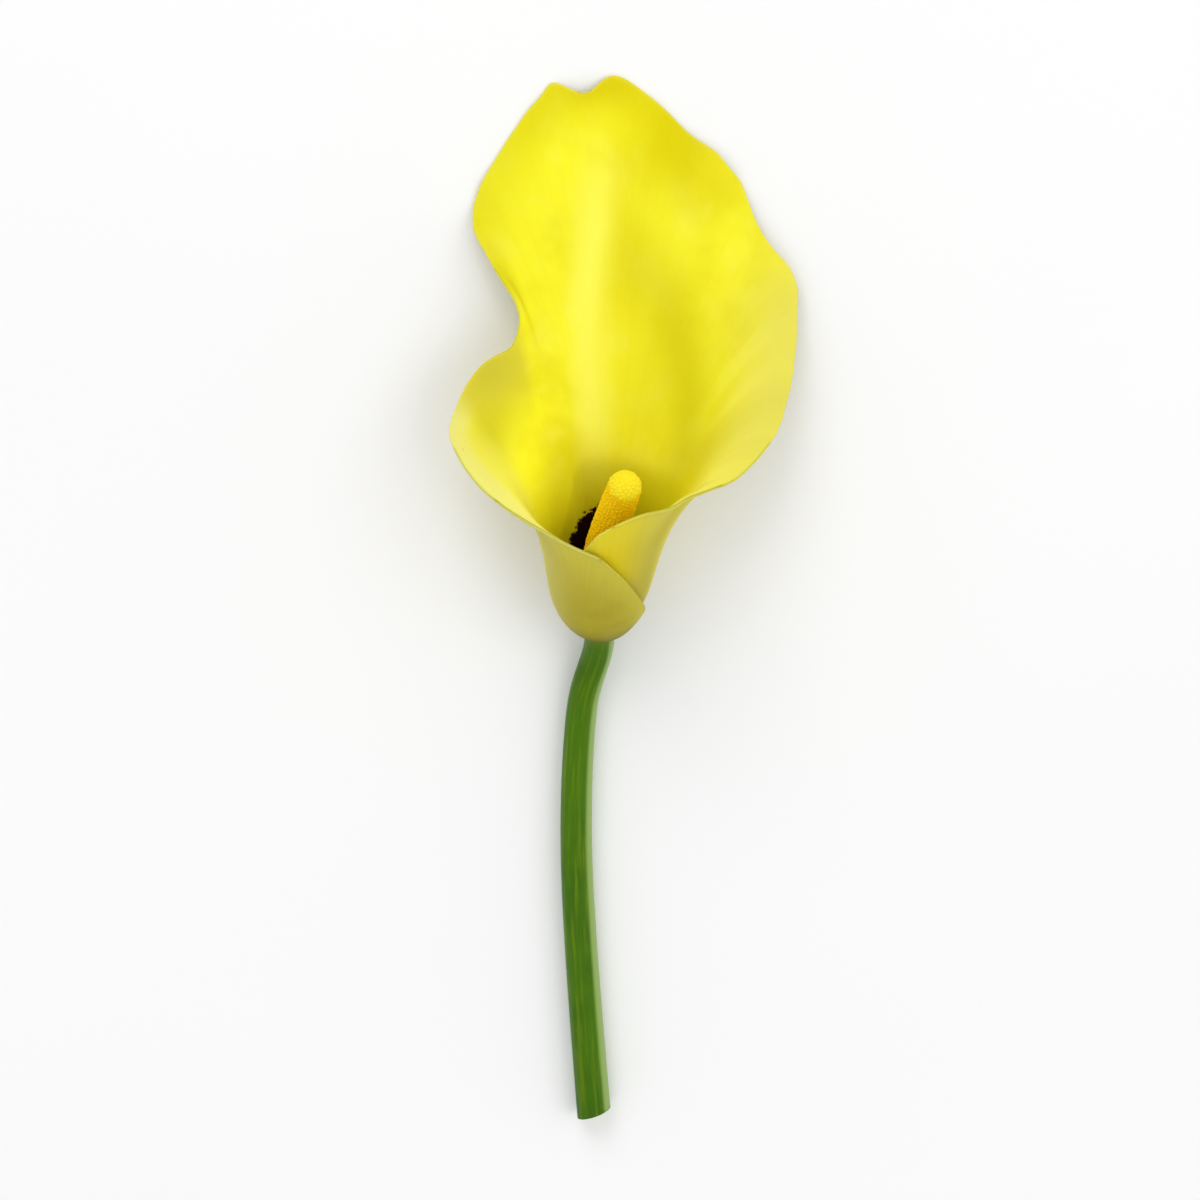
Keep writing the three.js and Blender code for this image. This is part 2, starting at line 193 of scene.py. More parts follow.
@dataclass(frozen=True)
class Tube:
    """The rolled tube: a round base that swells from a narrow foot and then widens slowly.

    The sheet's two flaps lap in front: the left one stands outside, the right one inside.
    """

    foot_radius: float = 3.2
    bulb_swell: float = 8.1
    bulb_height: float = 9.0
    widening: float = 0.05
    lean: float = 0.75
    lean_height: float = 6.0
    lap_shift: float = 0.8
    lap_from: float = 80.0
    lap_over: float = 60.0
    loose_from: float = 200.0
    loose_over: float = 110.0
    loosening: float = 0.3

    def radius(self, height: float) -> float:
        """Give the distance from the axis to the middle of the sheet at a height."""
        swell = 1 - math.exp(-max(height, 0) / self.bulb_height)
        return self.foot_radius + self.bulb_swell * swell + self.widening * height

    def shift(self, turn: float) -> float:
        """Give how far the sheet stands outside the plain tube where its two flaps overlap.

        Args:
            turn: Angle round the tube.

        Returns:
            The distance, negative inside the plain tube.
        """
        share = float(smooth_step((abs(turn) - self.lap_from) / self.lap_over))
        loose = 1 + self.loosening * max(0.0, (abs(turn) - self.loose_from) / self.loose_over)
        return -math.copysign(self.lap_shift * share * loose, turn)

    def wall(self, turn: float, height: float) -> np.ndarray:
        """Give a point of the wall.

        Args:
            turn: Angle round the tube.
            height: Height above its base.

        Returns:
            The point in the bloom's frame.
        """
        radius = self.radius(height) + self.shift(turn)
        angle = math.radians(turn)
        lean = self.lean * (1 - math.exp(-((height / self.lean_height) ** 2)))
        return np.array((radius * math.sin(angle) - lean, radius * math.cos(angle), height))


@dataclass(frozen=True)
class Rim:
    """The rim of the sheet, from the left flap's free corner round the back to the right flap's.

    A station of a wrapped flap has a turn and a height. A station of the open rim has a turn, then
    right, back and height of the edge, then the height up to which the sheet follows the tube, then
    how steeply the sheet climbs inwards from the edge, in degrees.
    """

    tube: Tube
    flap_rise: float = 0.85
    left_flap: Rows = ((-310, 1.5), (-270, 5.5), (-247, 10.5), (-225, 19), (-205, 27.8), (-185, 35.5))
    right_flap: Rows = ((185, 45.4), (200, 39), (225, 26), (270, 3))
    left_throat: Rows = (
        (-170, -2.3, -13.8, 38.6, 34.5, -75),
        (-155, -8.8, -11.8, 40.3, 40, -65),
        (-130, -23, 0, 38.5, 43, 0),
    )
    left_lobe: Rows = (
        (-112, -30.3, 9.4, 38.4, 43.5, 25),
        (-95, -33.9, 18.5, 41, 42.5, 30),
        (-80, -31, 24.5, 47.5, 40, -10),
        (-73, -27.3, 28, 51.7, 39.5, -13),
    )
    left_hollow: Rows = (
        (-66, -21.5, 30.5, 55, 39, -15),
        (-50, -20.5, 36.5, 59.5, 43, 15),
    )
    left_shoulder: Rows = (
        (-23, -27, 46.5, 64.5, 53, 32),
        (-16, -30.5, 56.5, 68, 57, 33),
        (-10.5, -24.4, 65.2, 79.3, 58, 0),
    )
    tip: Rows = (
        (-5.5, -14.2, 73.1, 91.6, 58, -30),
        (-1.8, -8.4, 73.8, 92.7, 58, -31),
        (3, -1, 73.9, 93, 58, -32),
        (14, 9.3, 69.8, 87.4, 58, -21),
        (18, 15.3, 66.3, 83.3, 57.7, -18),
        (21.5, 19.8, 64.6, 81, 57.5, -15),
    )
    right_shoulder: Rows = (
        (24.5, 24.3, 61.6, 77.5, 57.2, -12),
        (27, 26.3, 60.5, 75.3, 57, -10),
        (31.5, 29.3, 55.6, 69.5, 56, -5),
        (36, 33.1, 51.7, 65.3, 55, 0),
        (42, 37.2, 49.2, 61.7, 53, 10),
        (48, 39, 45.5, 57, 51, 20),
    )
    right_lobe: Rows = (
        (62, 38.9, 34.8, 49.4, 48, 33),
        (78, 36, 21.6, 41.9, 44.5, 30),
        (100, 27.4, 9.2, 39.2, 43, 14),
    )
    right_throat: Rows = (
        (126, 17.6, 1.3, 41.8, 44, -5),
        (140, 12.4, -5.1, 45.1, 46.5, -45),
        (152, 6.6, -10.8, 49.6, 46, -80),
    )

    def stations(self) -> np.ndarray:
        """Give all stations of the rim in order.

        Returns:
            A row for each: turn, edge, rise and climb.
        """
        rows = [self._flap_station(*station) for station in self.left_flap]
        rows += [*self.left_throat, *self.left_lobe, *self.left_hollow, *self.left_shoulder, *self.tip]
        rows += [*self.right_shoulder, *self.right_lobe, *self.right_throat]
        rows += [self._flap_station(*station) for station in self.right_flap]
        return np.array(rows, float)

    def _flap_station(self, turn: float, height: float) -> tuple:
        """Give the full station of a wrapped flap from its turn and the height of its margin."""
        return (turn, *self.tube.wall(turn, height), height * self.flap_rise, -90)

    def at(self, turn: float, stations: np.ndarray) -> tuple[np.ndarray, float, float]:
        """Read the rim on a smooth curve through its stations.

        Args:
            turn: Angle round the tube.
            stations: The rows of stations().

        Returns:
            The edge, the height up to which the sheet follows the tube, and the climb in radians.
        """
        last = len(stations) - 1
        index = min(int(np.searchsorted(stations[:, 0], turn, side="left")) - 1, last - 1)
        index = max(index, 0)
        start, end = stations[index], stations[index + 1]
        span = end[0] - start[0]
        share = (turn - start[0]) / span

        def slope(row: int) -> np.ndarray:
            """Return the slope of all columns at a station."""
            before, after = stations[max(row - 1, 0)], stations[min(row + 1, last)]
            return (after - before) / (after[0] - before[0])

        values = (
            start * (2 * share**3 - 3 * share**2 + 1)
            + end * (3 * share**2 - 2 * share**3)
            + span * slope(index) * (share**3 - 2 * share**2 + share)
            + span * slope(index + 1) * (share**3 - share**2)
        )
        wrapped = turn < self.left_flap[-1][0] or turn > self.right_flap[0][0]
        edge = self.tube.wall(turn, values[3]) if wrapped else values[1:4]
        return edge, values[4], math.radians(values[5])


@dataclass(frozen=True)
class Sheet:
    """The middle surface of the spathe, as a grid of points: lines up the sheet, row by row."""

    tube: Tube = Tube()
    edge_share: float = 0.22
    edge_reach: float = 8.0
    wall_share: float = 0.74
    tube_top: float = 31.0
    tube_top_power: int = 4
    notch_turn: float = -1.8
    notch_half_turn: float = 2.6
    notch_depth: float = 3.7
    notch_fade: float = 7.0
    rim_step: float = 4.0
    tube_rows: int = 8
    tube_row_power: float = 1.4
    blade_rows: int = 12
    even_passes: int = 10
    even_from_row: int = 5
    even_in_rows: int = 4
    even_out_rows: int = 6
    even_to_turn: float = 90.0
    even_fade_turn: float = 35.0

    def turns(self, stations: np.ndarray) -> np.ndarray:
        """Give the turns at which the sheet has a line, evenly spaced along the rim.

        Args:
            stations: Stations of the rim.

        Returns:
            The turns in order.
        """
        turns = []
        for start, end in zip(stations[:-1], stations[1:]):
            count = max(1, round(float(np.linalg.norm(end[1:4] - start[1:4])) / self.rim_step))
            turns += [start[0] + (end[0] - start[0]) * step / count for step in range(count)]
        turns.append(stations[-1][0])
        return np.array(turns)

    def line(self, turn: float, rim: Rim, stations: np.ndarray) -> np.ndarray:
        """Give one line of the sheet, from the base of the tube up its wall and out to the rim.

        Args:
            turn: Angle round the tube.
            rim: The rim.
            stations: Its stations.

        Returns:
            The points of the line.
        """
        edge, rise, climb = rim.at(turn, stations)
        before, after = rim.at(turn - 1, stations)[0], rim.at(turn + 1, stations)[0]
        along = after - before
        flat = math.cos(climb) / math.hypot(along[0], along[1])
        inward = np.array((along[1] * flat, -along[0] * flat, math.sin(climb)))
        share = self.wall_share * edge[2]
        power = self.tube_top_power
        wall_top = share / (1 + (share / self.tube_top) ** power) ** (1 / power)
        leave = self.tube.wall(turn, wall_top)
        pull = self.tube.wall(turn, max(rise, wall_top))
        reach = min(self.edge_reach, self.edge_share * float(np.linalg.norm(pull - edge)))
        arrive = edge + inward * reach
        notch = self.notch_depth * float(bell(turn, self.notch_turn, self.notch_half_turn))
        heights = wall_top * (np.arange(self.tube_rows) / self.tube_rows) ** self.tube_row_power
        wall = [self.tube.wall(turn, height) for height in heights]
        u = (np.arange(self.blade_rows + 1) / self.blade_rows)[:, None]
        blade = (
            leave * (1 - u) ** 3
            + pull * 3 * u * (1 - u) ** 2
            + arrive * 3 * u * u * (1 - u)
            + edge * u**3
            + inward * notch * u**self.notch_fade
        )
        return np.vstack((wall, blade))

    def grid(self) -> tuple[np.ndarray, np.ndarray]:
        """Lay the lines side by side and even out the open blade.

        Returns:
            The turns of the lines and the grid of points.
        """
        rim = Rim(self.tube)
        stations = rim.stations()
        turns = self.turns(stations)
        grid = np.array([self.line(turn, rim, stations) for turn in turns])
        rows = np.arange(grid.shape[1])
        open_share = 1 - smooth_step((np.abs(turns) - self.even_to_turn) / self.even_fade_turn)
        above_base = (rows - self.even_from_row) / self.even_in_rows
        below_rim = (rows[-1] - rows) / self.even_out_rows
        row_share = np.clip(np.minimum(above_base, below_rim), 0, 1)
        free = (open_share[:, None] * row_share)[1:-1, 1:-1, None]
        for _ in range(self.even_passes):
            middle = (grid[:-2, 1:-1] + grid[2:, 1:-1] + grid[1:-1, :-2] + grid[1:-1, 2:]) / 4
            evened = grid.copy()
            evened[1:-1, 1:-1] += free * (middle - grid[1:-1, 1:-1])
            grid = evened
        return turns, grid


@dataclass(frozen=True)
class Surface:
    """A fine middle surface: grid, turns of its lines, shares of its rows, gaps to rim and midrib."""

    turns: np.ndarray
    shares: np.ndarray
    grid: np.ndarray
    rim_gap: np.ndarray
    rib_gap: np.ndarray


@dataclass(frozen=True)
class Folds:
    """The midrib and two soft folds pressed into the blade, one near the midrib and one far from it."""

    blade_share: float = 0.42
    blade_over: float = 0.15
    rim_margin: float = 6.0
    rib_depth: float = 0.2
    rib_half_width: float = 3.4
    near_depth: float = 0.33
    near_gap: float = 7.0
    near_half_width: float = 4.5
    near_share: float = 0.7
    near_half_share: float = 0.1
    far_depth: float = 0.22
    far_turn: float = 18.0
    far_half_turn: float = 15.0
    far_share: float = 0.66
    far_half_share: float = 0.14
    swing_turn: float = 24.0
    swing_from_share: float = 0.8
    swing_over: float = 0.25

    def depth(self, surface: Surface) -> np.ndarray:
        """Give how deep each point is pressed in.

        Args:
            surface: The plain middle surface.

        Returns:
            The depth at each point.
        """
        shares, rib_gap = surface.shares[None, :], surface.rib_gap
        blade = smooth_step((shares - self.blade_share) / self.blade_over)
        blade = blade * smooth_step(surface.rim_gap / self.rim_margin)
        rib = self.rib_depth * bell(rib_gap, 0.0, self.rib_half_width)
        near = bell(rib_gap, self.near_gap, self.near_half_width)
        near = near * bell(shares, self.near_share, self.near_half_share)
        swing = self.swing_turn * np.clip((self.swing_from_share - shares) / self.swing_over, 0, 1)
        far = bell(surface.turns[:, None], self.far_turn + swing, self.far_half_turn)
        far = far * bell(shares, self.far_share, self.far_half_share)
        return (rib + self.near_depth * near + self.far_depth * far) * blade


@dataclass(frozen=True)
class Ripples:
    """The small waves of the open rim, calmer at the tip, where the blade rests."""

    height: float = 0.225
    length: float = 17.0
    second_height: float = 0.6
    second_length: float = 0.61
    second_start: float = 1.7
    reach: float = 7.0
    clear_height: float = 12.0
    open_turn: float = 105.0
    open_fade: float = 30.0
    tip_turn: float = 1.0
    tip_half_turn: float = 12.0
    tip_calm: float = 0.8

    def lift(self, surface: Surface) -> np.ndarray:
        """Give how far each point is lifted towards the inside.

        Args:
            surface: The plain middle surface.

        Returns:
            The lift at each point, negative where a wave goes down.
        """
        turns = surface.turns[:, None]
        waves = 2 * math.pi * lengths_along(surface.grid[:, -1])[:, None] / self.length
        wave = np.sin(waves) + self.second_height * np.sin(waves / self.second_length + self.second_start)
        held = smooth_step(surface.grid[..., 2] / self.clear_height)
        held = held * (1 - smooth_step((np.abs(turns) - self.open_turn) / self.open_fade))
        held = held * (1 - self.tip_calm * bell(turns, self.tip_turn, self.tip_half_turn))
        return self.height * wave * np.exp(-surface.rim_gap / self.reach) * held


def colour(red: int, green: int, blue: int) -> Tint:
    """Turn a screen colour, from 0 to 255 each, into the linear colour that a shader takes."""
    levels = np.array((red, green, blue)) / 255
    return (*np.where(levels <= 0.04045, levels / 12.92, ((levels + 0.055) / 1.055) ** 2.4).tolist(), 1.0)


@dataclass(frozen=True)
class Pattern:
    """A soft random pattern: patches in one unit, finer layers and how strong those are."""

    scale: float
    detail: float
    roughness: float


@dataclass(frozen=True)
class Streaks:
    """A pattern drawn out along a piece, with its units in one unit across and in one along."""

    across: float
    along: float
    pattern: Pattern


class Recipe:
    """A material's node tree, written in short steps."""

    def __init__(self, name: str) -> None:
        """Start an empty material.

        Args:
            name: The material's name.
        """
        self.material = bpy.data.materials.new(name)
        self.material.use_nodes = True
        self.tree = self.material.node_tree
        self.tree.nodes.clear()
        self.object_place = self._node("ShaderNodeTexCoord", {}).outputs["Object"]

    def _node(self, kind: str, inputs: dict[object, object], **settings: object) -> bpy.types.Node:
        """Add a node and fill its inputs.

        Args:
            kind: Blender's name for the kind of node.
            inputs: For an input's name or number, an output that is linked to it or a plain value.
            settings: Properties to set on the node.

        Returns:
            The node.
        """
        node = self.tree.nodes.new(kind)
        for name, value in settings.items():
            setattr(node, name, value)
        for name, value in inputs.items():
            if isinstance(value, bpy.types.NodeSocket):
                self.tree.links.new(value, node.inputs[name])
            else:
                node.inputs[name].default_value = value
        return node

    def attribute(self, name: str) -> Socket:
        """Read a number that the mesh holds at each point under a name."""
        return self._node("ShaderNodeAttribute", {}, attribute_name=name).outputs["Fac"]

    def math(self, operation: str, first: object, second: object = 0.0) -> Socket:
        """Work out one number from two, by Blender's name for the operation."""
        return self._node("ShaderNodeMath", {0: first, 1: second}, operation=operation).outputs[0]

    def product(self, *values: object) -> Socket:
        """Multiply any number of values."""
        return reduce(partial(self.math, "MULTIPLY"), values)

    def noise(self, pattern: Pattern, place: object = None) -> Socket:
        """Read a soft random pattern.

        Args:
            pattern: What the pattern is like.
            place: Where it is read, which is the place on the piece if nothing else is given.

        Returns:
            A value about 0.5.
        """
        inputs = {"Vector": place or self.object_place, "Scale": pattern.scale}
        inputs |= {"Detail": pattern.detail, "Roughness": pattern.roughness}
        return self._node("ShaderNodeTexNoise", inputs).outputs["Fac"]

    def streaks(self, across: object, along: object, streaks: Streaks) -> Socket:
        """Read a drawn-out pattern, a value about 0.5, by the values across and along the piece."""
        place = {0: self.product(across, streaks.across), 1: self.product(along, streaks.along)}
        return self.noise(streaks.pattern, self._node("ShaderNodeCombineXYZ", place).outputs[0])

    def cells(self, scale: float) -> Socket:
        """Read the distance to the nearest of many scattered points, with so many to the metre."""
        inputs = {"Vector": self.object_place, "Scale": scale}
        return self._node("ShaderNodeTexVoronoi", inputs).outputs["Distance"]

    def rise(self, value: object, start: float, end: float, low: float = 0.0, high: float = 1.0) -> Socket:
        """Ease from low to high as a value passes from start to end."""
        inputs = {"Value": value, "From Min": start, "From Max": end, "To Min": low, "To Max": high}
        return self._node("ShaderNodeMapRange", inputs, interpolation_type="SMOOTHSTEP").outputs["Result"]

    def hump(self, value: object, middle: float, half_width: float) -> Socket:
        """Give 1 at a middle value, falling smoothly to 0 at HUMP_REACH half widths from it."""
        away = self.math("ABSOLUTE", self.math("SUBTRACT", value, middle))
        return self.rise(away, 0.0, HUMP_REACH * half_width, 1.0, 0.0)

    def near(self, spot: Vector, radius: float, soft: float) -> Socket:
        """Give 1 within a radius of a spot on the piece, falling to 0 over a soft edge, in metres."""
        away = self._node("ShaderNodeVectorMath", {0: self.object_place, 1: spot}, operation="DISTANCE")
        return self.rise(away.outputs["Value"], radius, radius + soft, 1.0, 0.0)

    def blend(self, share: object, first: object, second: object, label: str = "") -> Socket:
        """Blend two colours by the share of the second one, in a node with a label."""
        settings = {"data_type": "RGBA", "clamp_factor": True, "label": label}
        return self._node("ShaderNodeMix", {0: share, 6: first, 7: second}, **settings).outputs[2]

    def washed(self, tone: object, washes: tuple[tuple, ...]) -> Socket:
        """Lay thin washes of colour over a tone, one after another.

        Args:
            tone: The colour below them.
            washes: For each wash its label, its colour and the factors of its strength.

        Returns:
            The colour on top.
        """
        for label, tint, *factors in washes:
            tone = self.blend(self.product(*factors), tone, tint, label)
        return tone

    def relief(self, height: object, distance: float, **under: object) -> Socket:
        """Turn a pattern into relief of a height in metres, over another relief if Normal is given."""
        inputs = {"Strength": 1.0, "Distance": distance, "Height": height, **under}
        return self._node("ShaderNodeBump", inputs).outputs["Normal"]

    def finished(self, **sockets: object) -> bpy.types.Material:
        """Close the tree with a surface shader.

        Args:
            sockets: Values of the shader's sockets, with underscores for the spaces in their names.

        Returns:
            The material.
        """
        inputs = {name.replace("_", " "): value for name, value in sockets.items()}
        shader = self._node("ShaderNodeBsdfPrincipled", inputs)
        self._node("ShaderNodeOutputMaterial", {"Surface": shader.outputs[0]})
        return self.material


class Patch:
    """A mesh that starts as a flat grid, whose points are then moved into place."""

    def __init__(self, points: np.ndarray, values: dict[str, np.ndarray | float]) -> None:
        """Lay a grid, move its points, weld its seams and poles and turn all faces outwards.

        Args:
            points: Places of the points, column by column, each with the same rows.
            values: Numbers to keep at the points, spread over the columns and rows.
        """
        columns, rows = points.shape[:2]
        self.mesh = bmesh.new()
        bmesh.ops.create_grid(self.mesh, x_segments=rows - 1, y_segments=columns - 1, size=1)
        layers = {name: self.mesh.verts.layers.float.new(name) for name in values}
        for vert, place in zip(self.mesh.verts, points.reshape(-1, 3).tolist()):
            vert.co = place
        for name, layer in layers.items():
            kept = np.broadcast_to(values[name], (columns, rows))
            for vert, number in zip(self.mesh.verts, kept.ravel().tolist()):
                vert[layer] = number
        bmesh.ops.remove_doubles(self.mesh, verts=self.mesh.verts, dist=WELD_DISTANCE)
        bmesh.ops.dissolve_degenerate(self.mesh, edges=self.mesh.edges, dist=WELD_DISTANCE)
        bmesh.ops.recalc_face_normals(self.mesh, faces=self.mesh.faces)

    def add(self, other: "Patch") -> None:
        """Add another patch's shape to this one.

        Args:
            other: The patch, which holds the same numbers and is used up.
        """
        shape = bpy.data.meshes.new("joined")
        other.mesh.to_mesh(shape)
        other.mesh.free()
        self.mesh.from_mesh(shape)
        bpy.data.meshes.remove(shape)

    def finish(self, name: str, material: bpy.types.Material, node: Node, slot: Slot) -> bpy.types.Object:
        """Make the patch a piece of the flower.

        Args:
            name: Name of the piece.
            material: Its finish.
            node: The solid it stands for.
            slot: The record's slot for its finish; not used.

        Returns:
            The piece.
        """
        open_edges = sum(1 for edge in self.mesh.edges if not edge.is_manifold)
        for face in self.mesh.faces:
            face.smooth = True
        data = bpy.data.meshes.new(name)
        self.mesh.to_mesh(data)
        self.mesh.free()
        data.materials.append(material)
        piece = put_in_scene(name, data)
        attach(piece, "root")
        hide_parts(node.value)
        LOG.info("%s: %d faces, %d open edges", name, len(data.polygons), open_edges)
        return piece


@dataclass(frozen=True)
class SpatheFinish:
    """Colours and surface of the spathe, inside and outside."""

    inside: Tint = colour(244, 236, 46)
    lemon: Tint = colour(246, 239, 26)
    # The golden tone of the patches and veins. It is also laid as painted shade on the upper right, the
    # tip, beside the midrib and low on the blade.
    golden: Tint = colour(211, 196, 4)
    shade: Tint = colour(205, 195, 12)
    # band: painted shade for the right side of the funnel into the throat.
    band: Tint = colour(186, 172, 12)
    pale: Tint = colour(249, 242, 92)
    margin: Tint = colour(225, 217, 96)
    margin_left: Tint = colour(228, 222, 124)
    # Painted shade for the upper margin of the left lobe, which turns away from the light.
    turned_rim_shade: Tint = colour(200, 188, 54)
    # The throat's own greener tone, darkened with painted shade at the back and right; the next colour is
    # lightened as painted light for the left wall, which lies in shadow.
    throat: Tint = colour(216, 204, 4)
    throat_left_painted_light: Tint = colour(252, 247, 34)
    # Painted shadow: the greenish shadow that the left lip casts on the throat wall.
    olive_painted_shadow: Tint = colour(160, 162, 16)
    blotch: Tint = colour(34, 12, 8)
    # Outer colours: the front of the tube is darkened with painted shade, most of all low down and at its
    # foot; the back colours below are lighter.
    outside: Tint = colour(193, 180, 63)
    outside_warm: Tint = colour(226, 206, 22)
    outside_low_and_shade: Tint = colour(166, 152, 30)
    outside_side: Tint = colour(200, 194, 110)
    # Greener foot colour, darkened with painted shade for the front of the foot.
    outside_foot_and_shade: Tint = colour(88, 88, 36)
    outside_back: Tint = colour(228, 220, 84)
    foot_back: Tint = colour(150, 160, 58)
    speck: Tint = colour(110, 96, 20)
    speck_radius: float = 0.0001
    speck_soft: float = 0.0004
    speck_strength: float = 0.75
    clouds: Pattern = Pattern(120, 3, 0.55)
    patches: Pattern = Pattern(48, 3, 0.55)
    fine: Pattern = Pattern(900, 2, 0.6)
    veins: Streaks = Streaks(0.9, 1.0, Pattern(1.0, 3, 0.6))
    pleats: Streaks = Streaks(0.13, 1.0, Pattern(1.0, 2, 0.5))
    jags: Pattern = Pattern(700, 4, 0.8)
    jag_height: float = 9.0
    vein_relief: float = 0.00006
    fine_relief: float = 0.00003

    def material(self, specks: list[Vector]) -> bpy.types.Material:
        """Build the material.

        Args:
            specks: Places of small blemishes, in metres.

        Returns:
            The material.
        """
        recipe = Recipe("spathe_skin")
        clouds = recipe.noise(self.clouds)
        veins = recipe.streaks(recipe.attribute("turn"), recipe.attribute("share"), self.veins)
        outer = self._outer(recipe, clouds, veins)
        base = recipe.blend(recipe.attribute("inside"), outer, self._inner(recipe, clouds, veins))
        for spot in specks:
            near = recipe.near(spot, self.speck_radius, self.speck_soft)
            base = recipe.blend(recipe.product(near, self.speck_strength), base, self.speck, "speck")
        fine = recipe.relief(recipe.noise(self.fine), self.fine_relief)
        return recipe.finished(
            Base_Color=base,
            Roughness=recipe.rise(clouds, 0.3, 0.7, 0.42, 0.56),
            Normal=recipe.relief(veins, self.vein_relief, Normal=fine),
            IOR=1.4,
            Subsurface_Weight=0.25,
            Subsurface_Radius=(1.0, 0.75, 0.2),
            Subsurface_Scale=0.0012,
            Specular_IOR_Level=0.05,
        )

    def _inner(self, recipe: Recipe, clouds: Socket, veins: Socket) -> Socket:
        """Colour the inside: patches, pale margins, throat and blotch, with painted shade in the folds and
        a painted highlight on the midrib.

        Args:
            recipe: The material.
            clouds: Pattern of soft patches.
            veins: Pattern of fine lines up the sheet.

        Returns:
            The colour.
        """
        turn, share, rim, height, rib = map(recipe.attribute, ("turn", "share", "rim", "height", "rib"))
        rise, hump, minus = recipe.rise, recipe.hump, partial(recipe.math, "SUBTRACT")
        patches = recipe.noise(self.patches)
        pleats = recipe.streaks(turn, share, self.pleats)
        swing = minus(turn, rise(share, 0.56, 0.8, 46, 14))
        left_reach = recipe.product(rim, rise(turn, -122, -100, 0.4, 1.0))
        # The throat's tone: painted light on its left wall, painted shade at the back.
        deep = recipe.blend(rise(turn, -30, -12, 1.0, 0.0), self.throat, self.throat_left_painted_light)
        # Height above the edge of the painted shadow on the left throat wall.
        shaded = minus(height, rise(turn, -58, -12, 22, 37))
        limit = minus(rise(turn, -56, -4, 16, 25.5), rise(turn, 4, 60, 0, 11))
        jags = minus(recipe.product(recipe.noise(self.jags), self.jag_height), self.jag_height / 2)
        ragged = recipe.math("ADD", minus(height, limit), jags)
        # Turns in degrees, rim, rib and height in millimetres, shares from 0 at the base to 1 at the rim.
        washes = (
            ("left half", self.lemon, rise(turn, -75, 5, 0.6, 0.1)),
            ("patches", self.golden, rise(patches, 0.44, 0.7, 0.0, 0.4)),
            ("clouds", self.pale, rise(clouds, 0.46, 0.72, 0.0, 0.3)),
            ("veins", self.golden, rise(veins, 0.45, 0.75, 0.0, 0.08)),
            # Painted shade on the upper right of the blade, which bends back away from the light.
            ("upper right", self.golden, 0.95, hump(turn, 15, 11), rise(share, 0.78, 0.92)),
            # Painted shade in the far fold, which swings to the right lower down.
            ("far fold", self.shade, 0.8, hump(swing, 0.0, 20), hump(share, 0.64, 0.15)),
            # Painted highlight: light along the raised midrib.
            ("midrib", self.pale, hump(rib, -1.5, 5.0), rise(share, 0.74, 0.9, 0.75, 0.15)),
            # Painted shade in the soft fold just right of the midrib.
            (
                "right of the midrib", self.golden,
                rise(rib, -1.0, 3.5), rise(rib, 4, 18, 0.2, 0.0), rise(share, 0.56, 0.68),
            ),
            # Painted shade in the near fold.
            ("near fold", self.golden, 0.3, hump(rib, 6.5, 4.5), hump(share, 0.7, 0.07)),
            ("top", self.lemon, 0.6, rise(share, 0.8, 0.92), hump(turn, 2, 14)),
            # Painted shade low on the blade, where it turns down into the throat.
            ("lower blade", self.golden, 0.4, hump(turn, 22, 22), hump(height, 52, 15)),
            # Painted shade on the right slope of the blade.
            ("right slope", self.shade, 0.35, hump(turn, 50, 14), hump(share, 0.72, 0.11)),
            # Painted shade on the tip, which bends back.
            ("tip", self.golden, 0.85, rise(share, 0.86, 0.98), hump(turn, 1, 12)),
            # Painted shade along the upper left edge of the blade.
            ("left edge", self.shade, hump(turn, -30, 21), rise(rim, 1, 19, 0.65, 0.0)),
            # Painted shade in the dip of the left lobe, inside its pale edge.
            ("left dip", self.shade, 0.8, hump(turn, -87, 20), hump(rim, 10, 8)),
            # Painted shade where the right side of the blade turns down into the throat.
            ("right band", self.band, 0.65, hump(turn, 72, 26), hump(height, 42, 8.5)),
            ("low on the left", self.margin, 0.7, hump(turn, -110, 24), hump(height, 40, 8)),
            (
                "pleats", self.pale,
                rise(pleats, 0.38, 0.66, 0.0, 0.35), rise(turn, 30, 54), rise(share, 0.62, 0.82),
            ),
            ("left lobe", self.margin_left, rise(turn, -74, -92), rise(left_reach, 0.5, 7, 0.95, 0.0)),
            # Painted shade on the upper margin of the left lobe, which turns away from the light.
            ("turned rim", self.turned_rim_shade, hump(turn, -72, 14), rise(rim, 2, 17, 0.9, 0.0)),
            ("right lobe", self.margin, rise(turn, 28, 54), rise(rim, 3, 26, 0.75, 0.0)),
            ("rim line", self.margin, rise(rim, 0.3, 1.2, 0.2, 0.0)),
            # The throat's own greener tone, with painted shade at the back and painted light on the left
            # wall.
            ("throat", deep, rise(height, 24, 44, 0.9, 0.0)),
            # Painted shadow cast by the left lip on the throat wall, above the blotch.
            ("painted shadow of the left lip", self.olive_painted_shadow, rise(shaded, -3.0, 1.5, 0.24, 0.0)),
            ("blotch", self.blotch, rise(ragged, -0.35, 0.35, 1.0, 0.0)),
        )
        return recipe.washed(self.inside, washes)

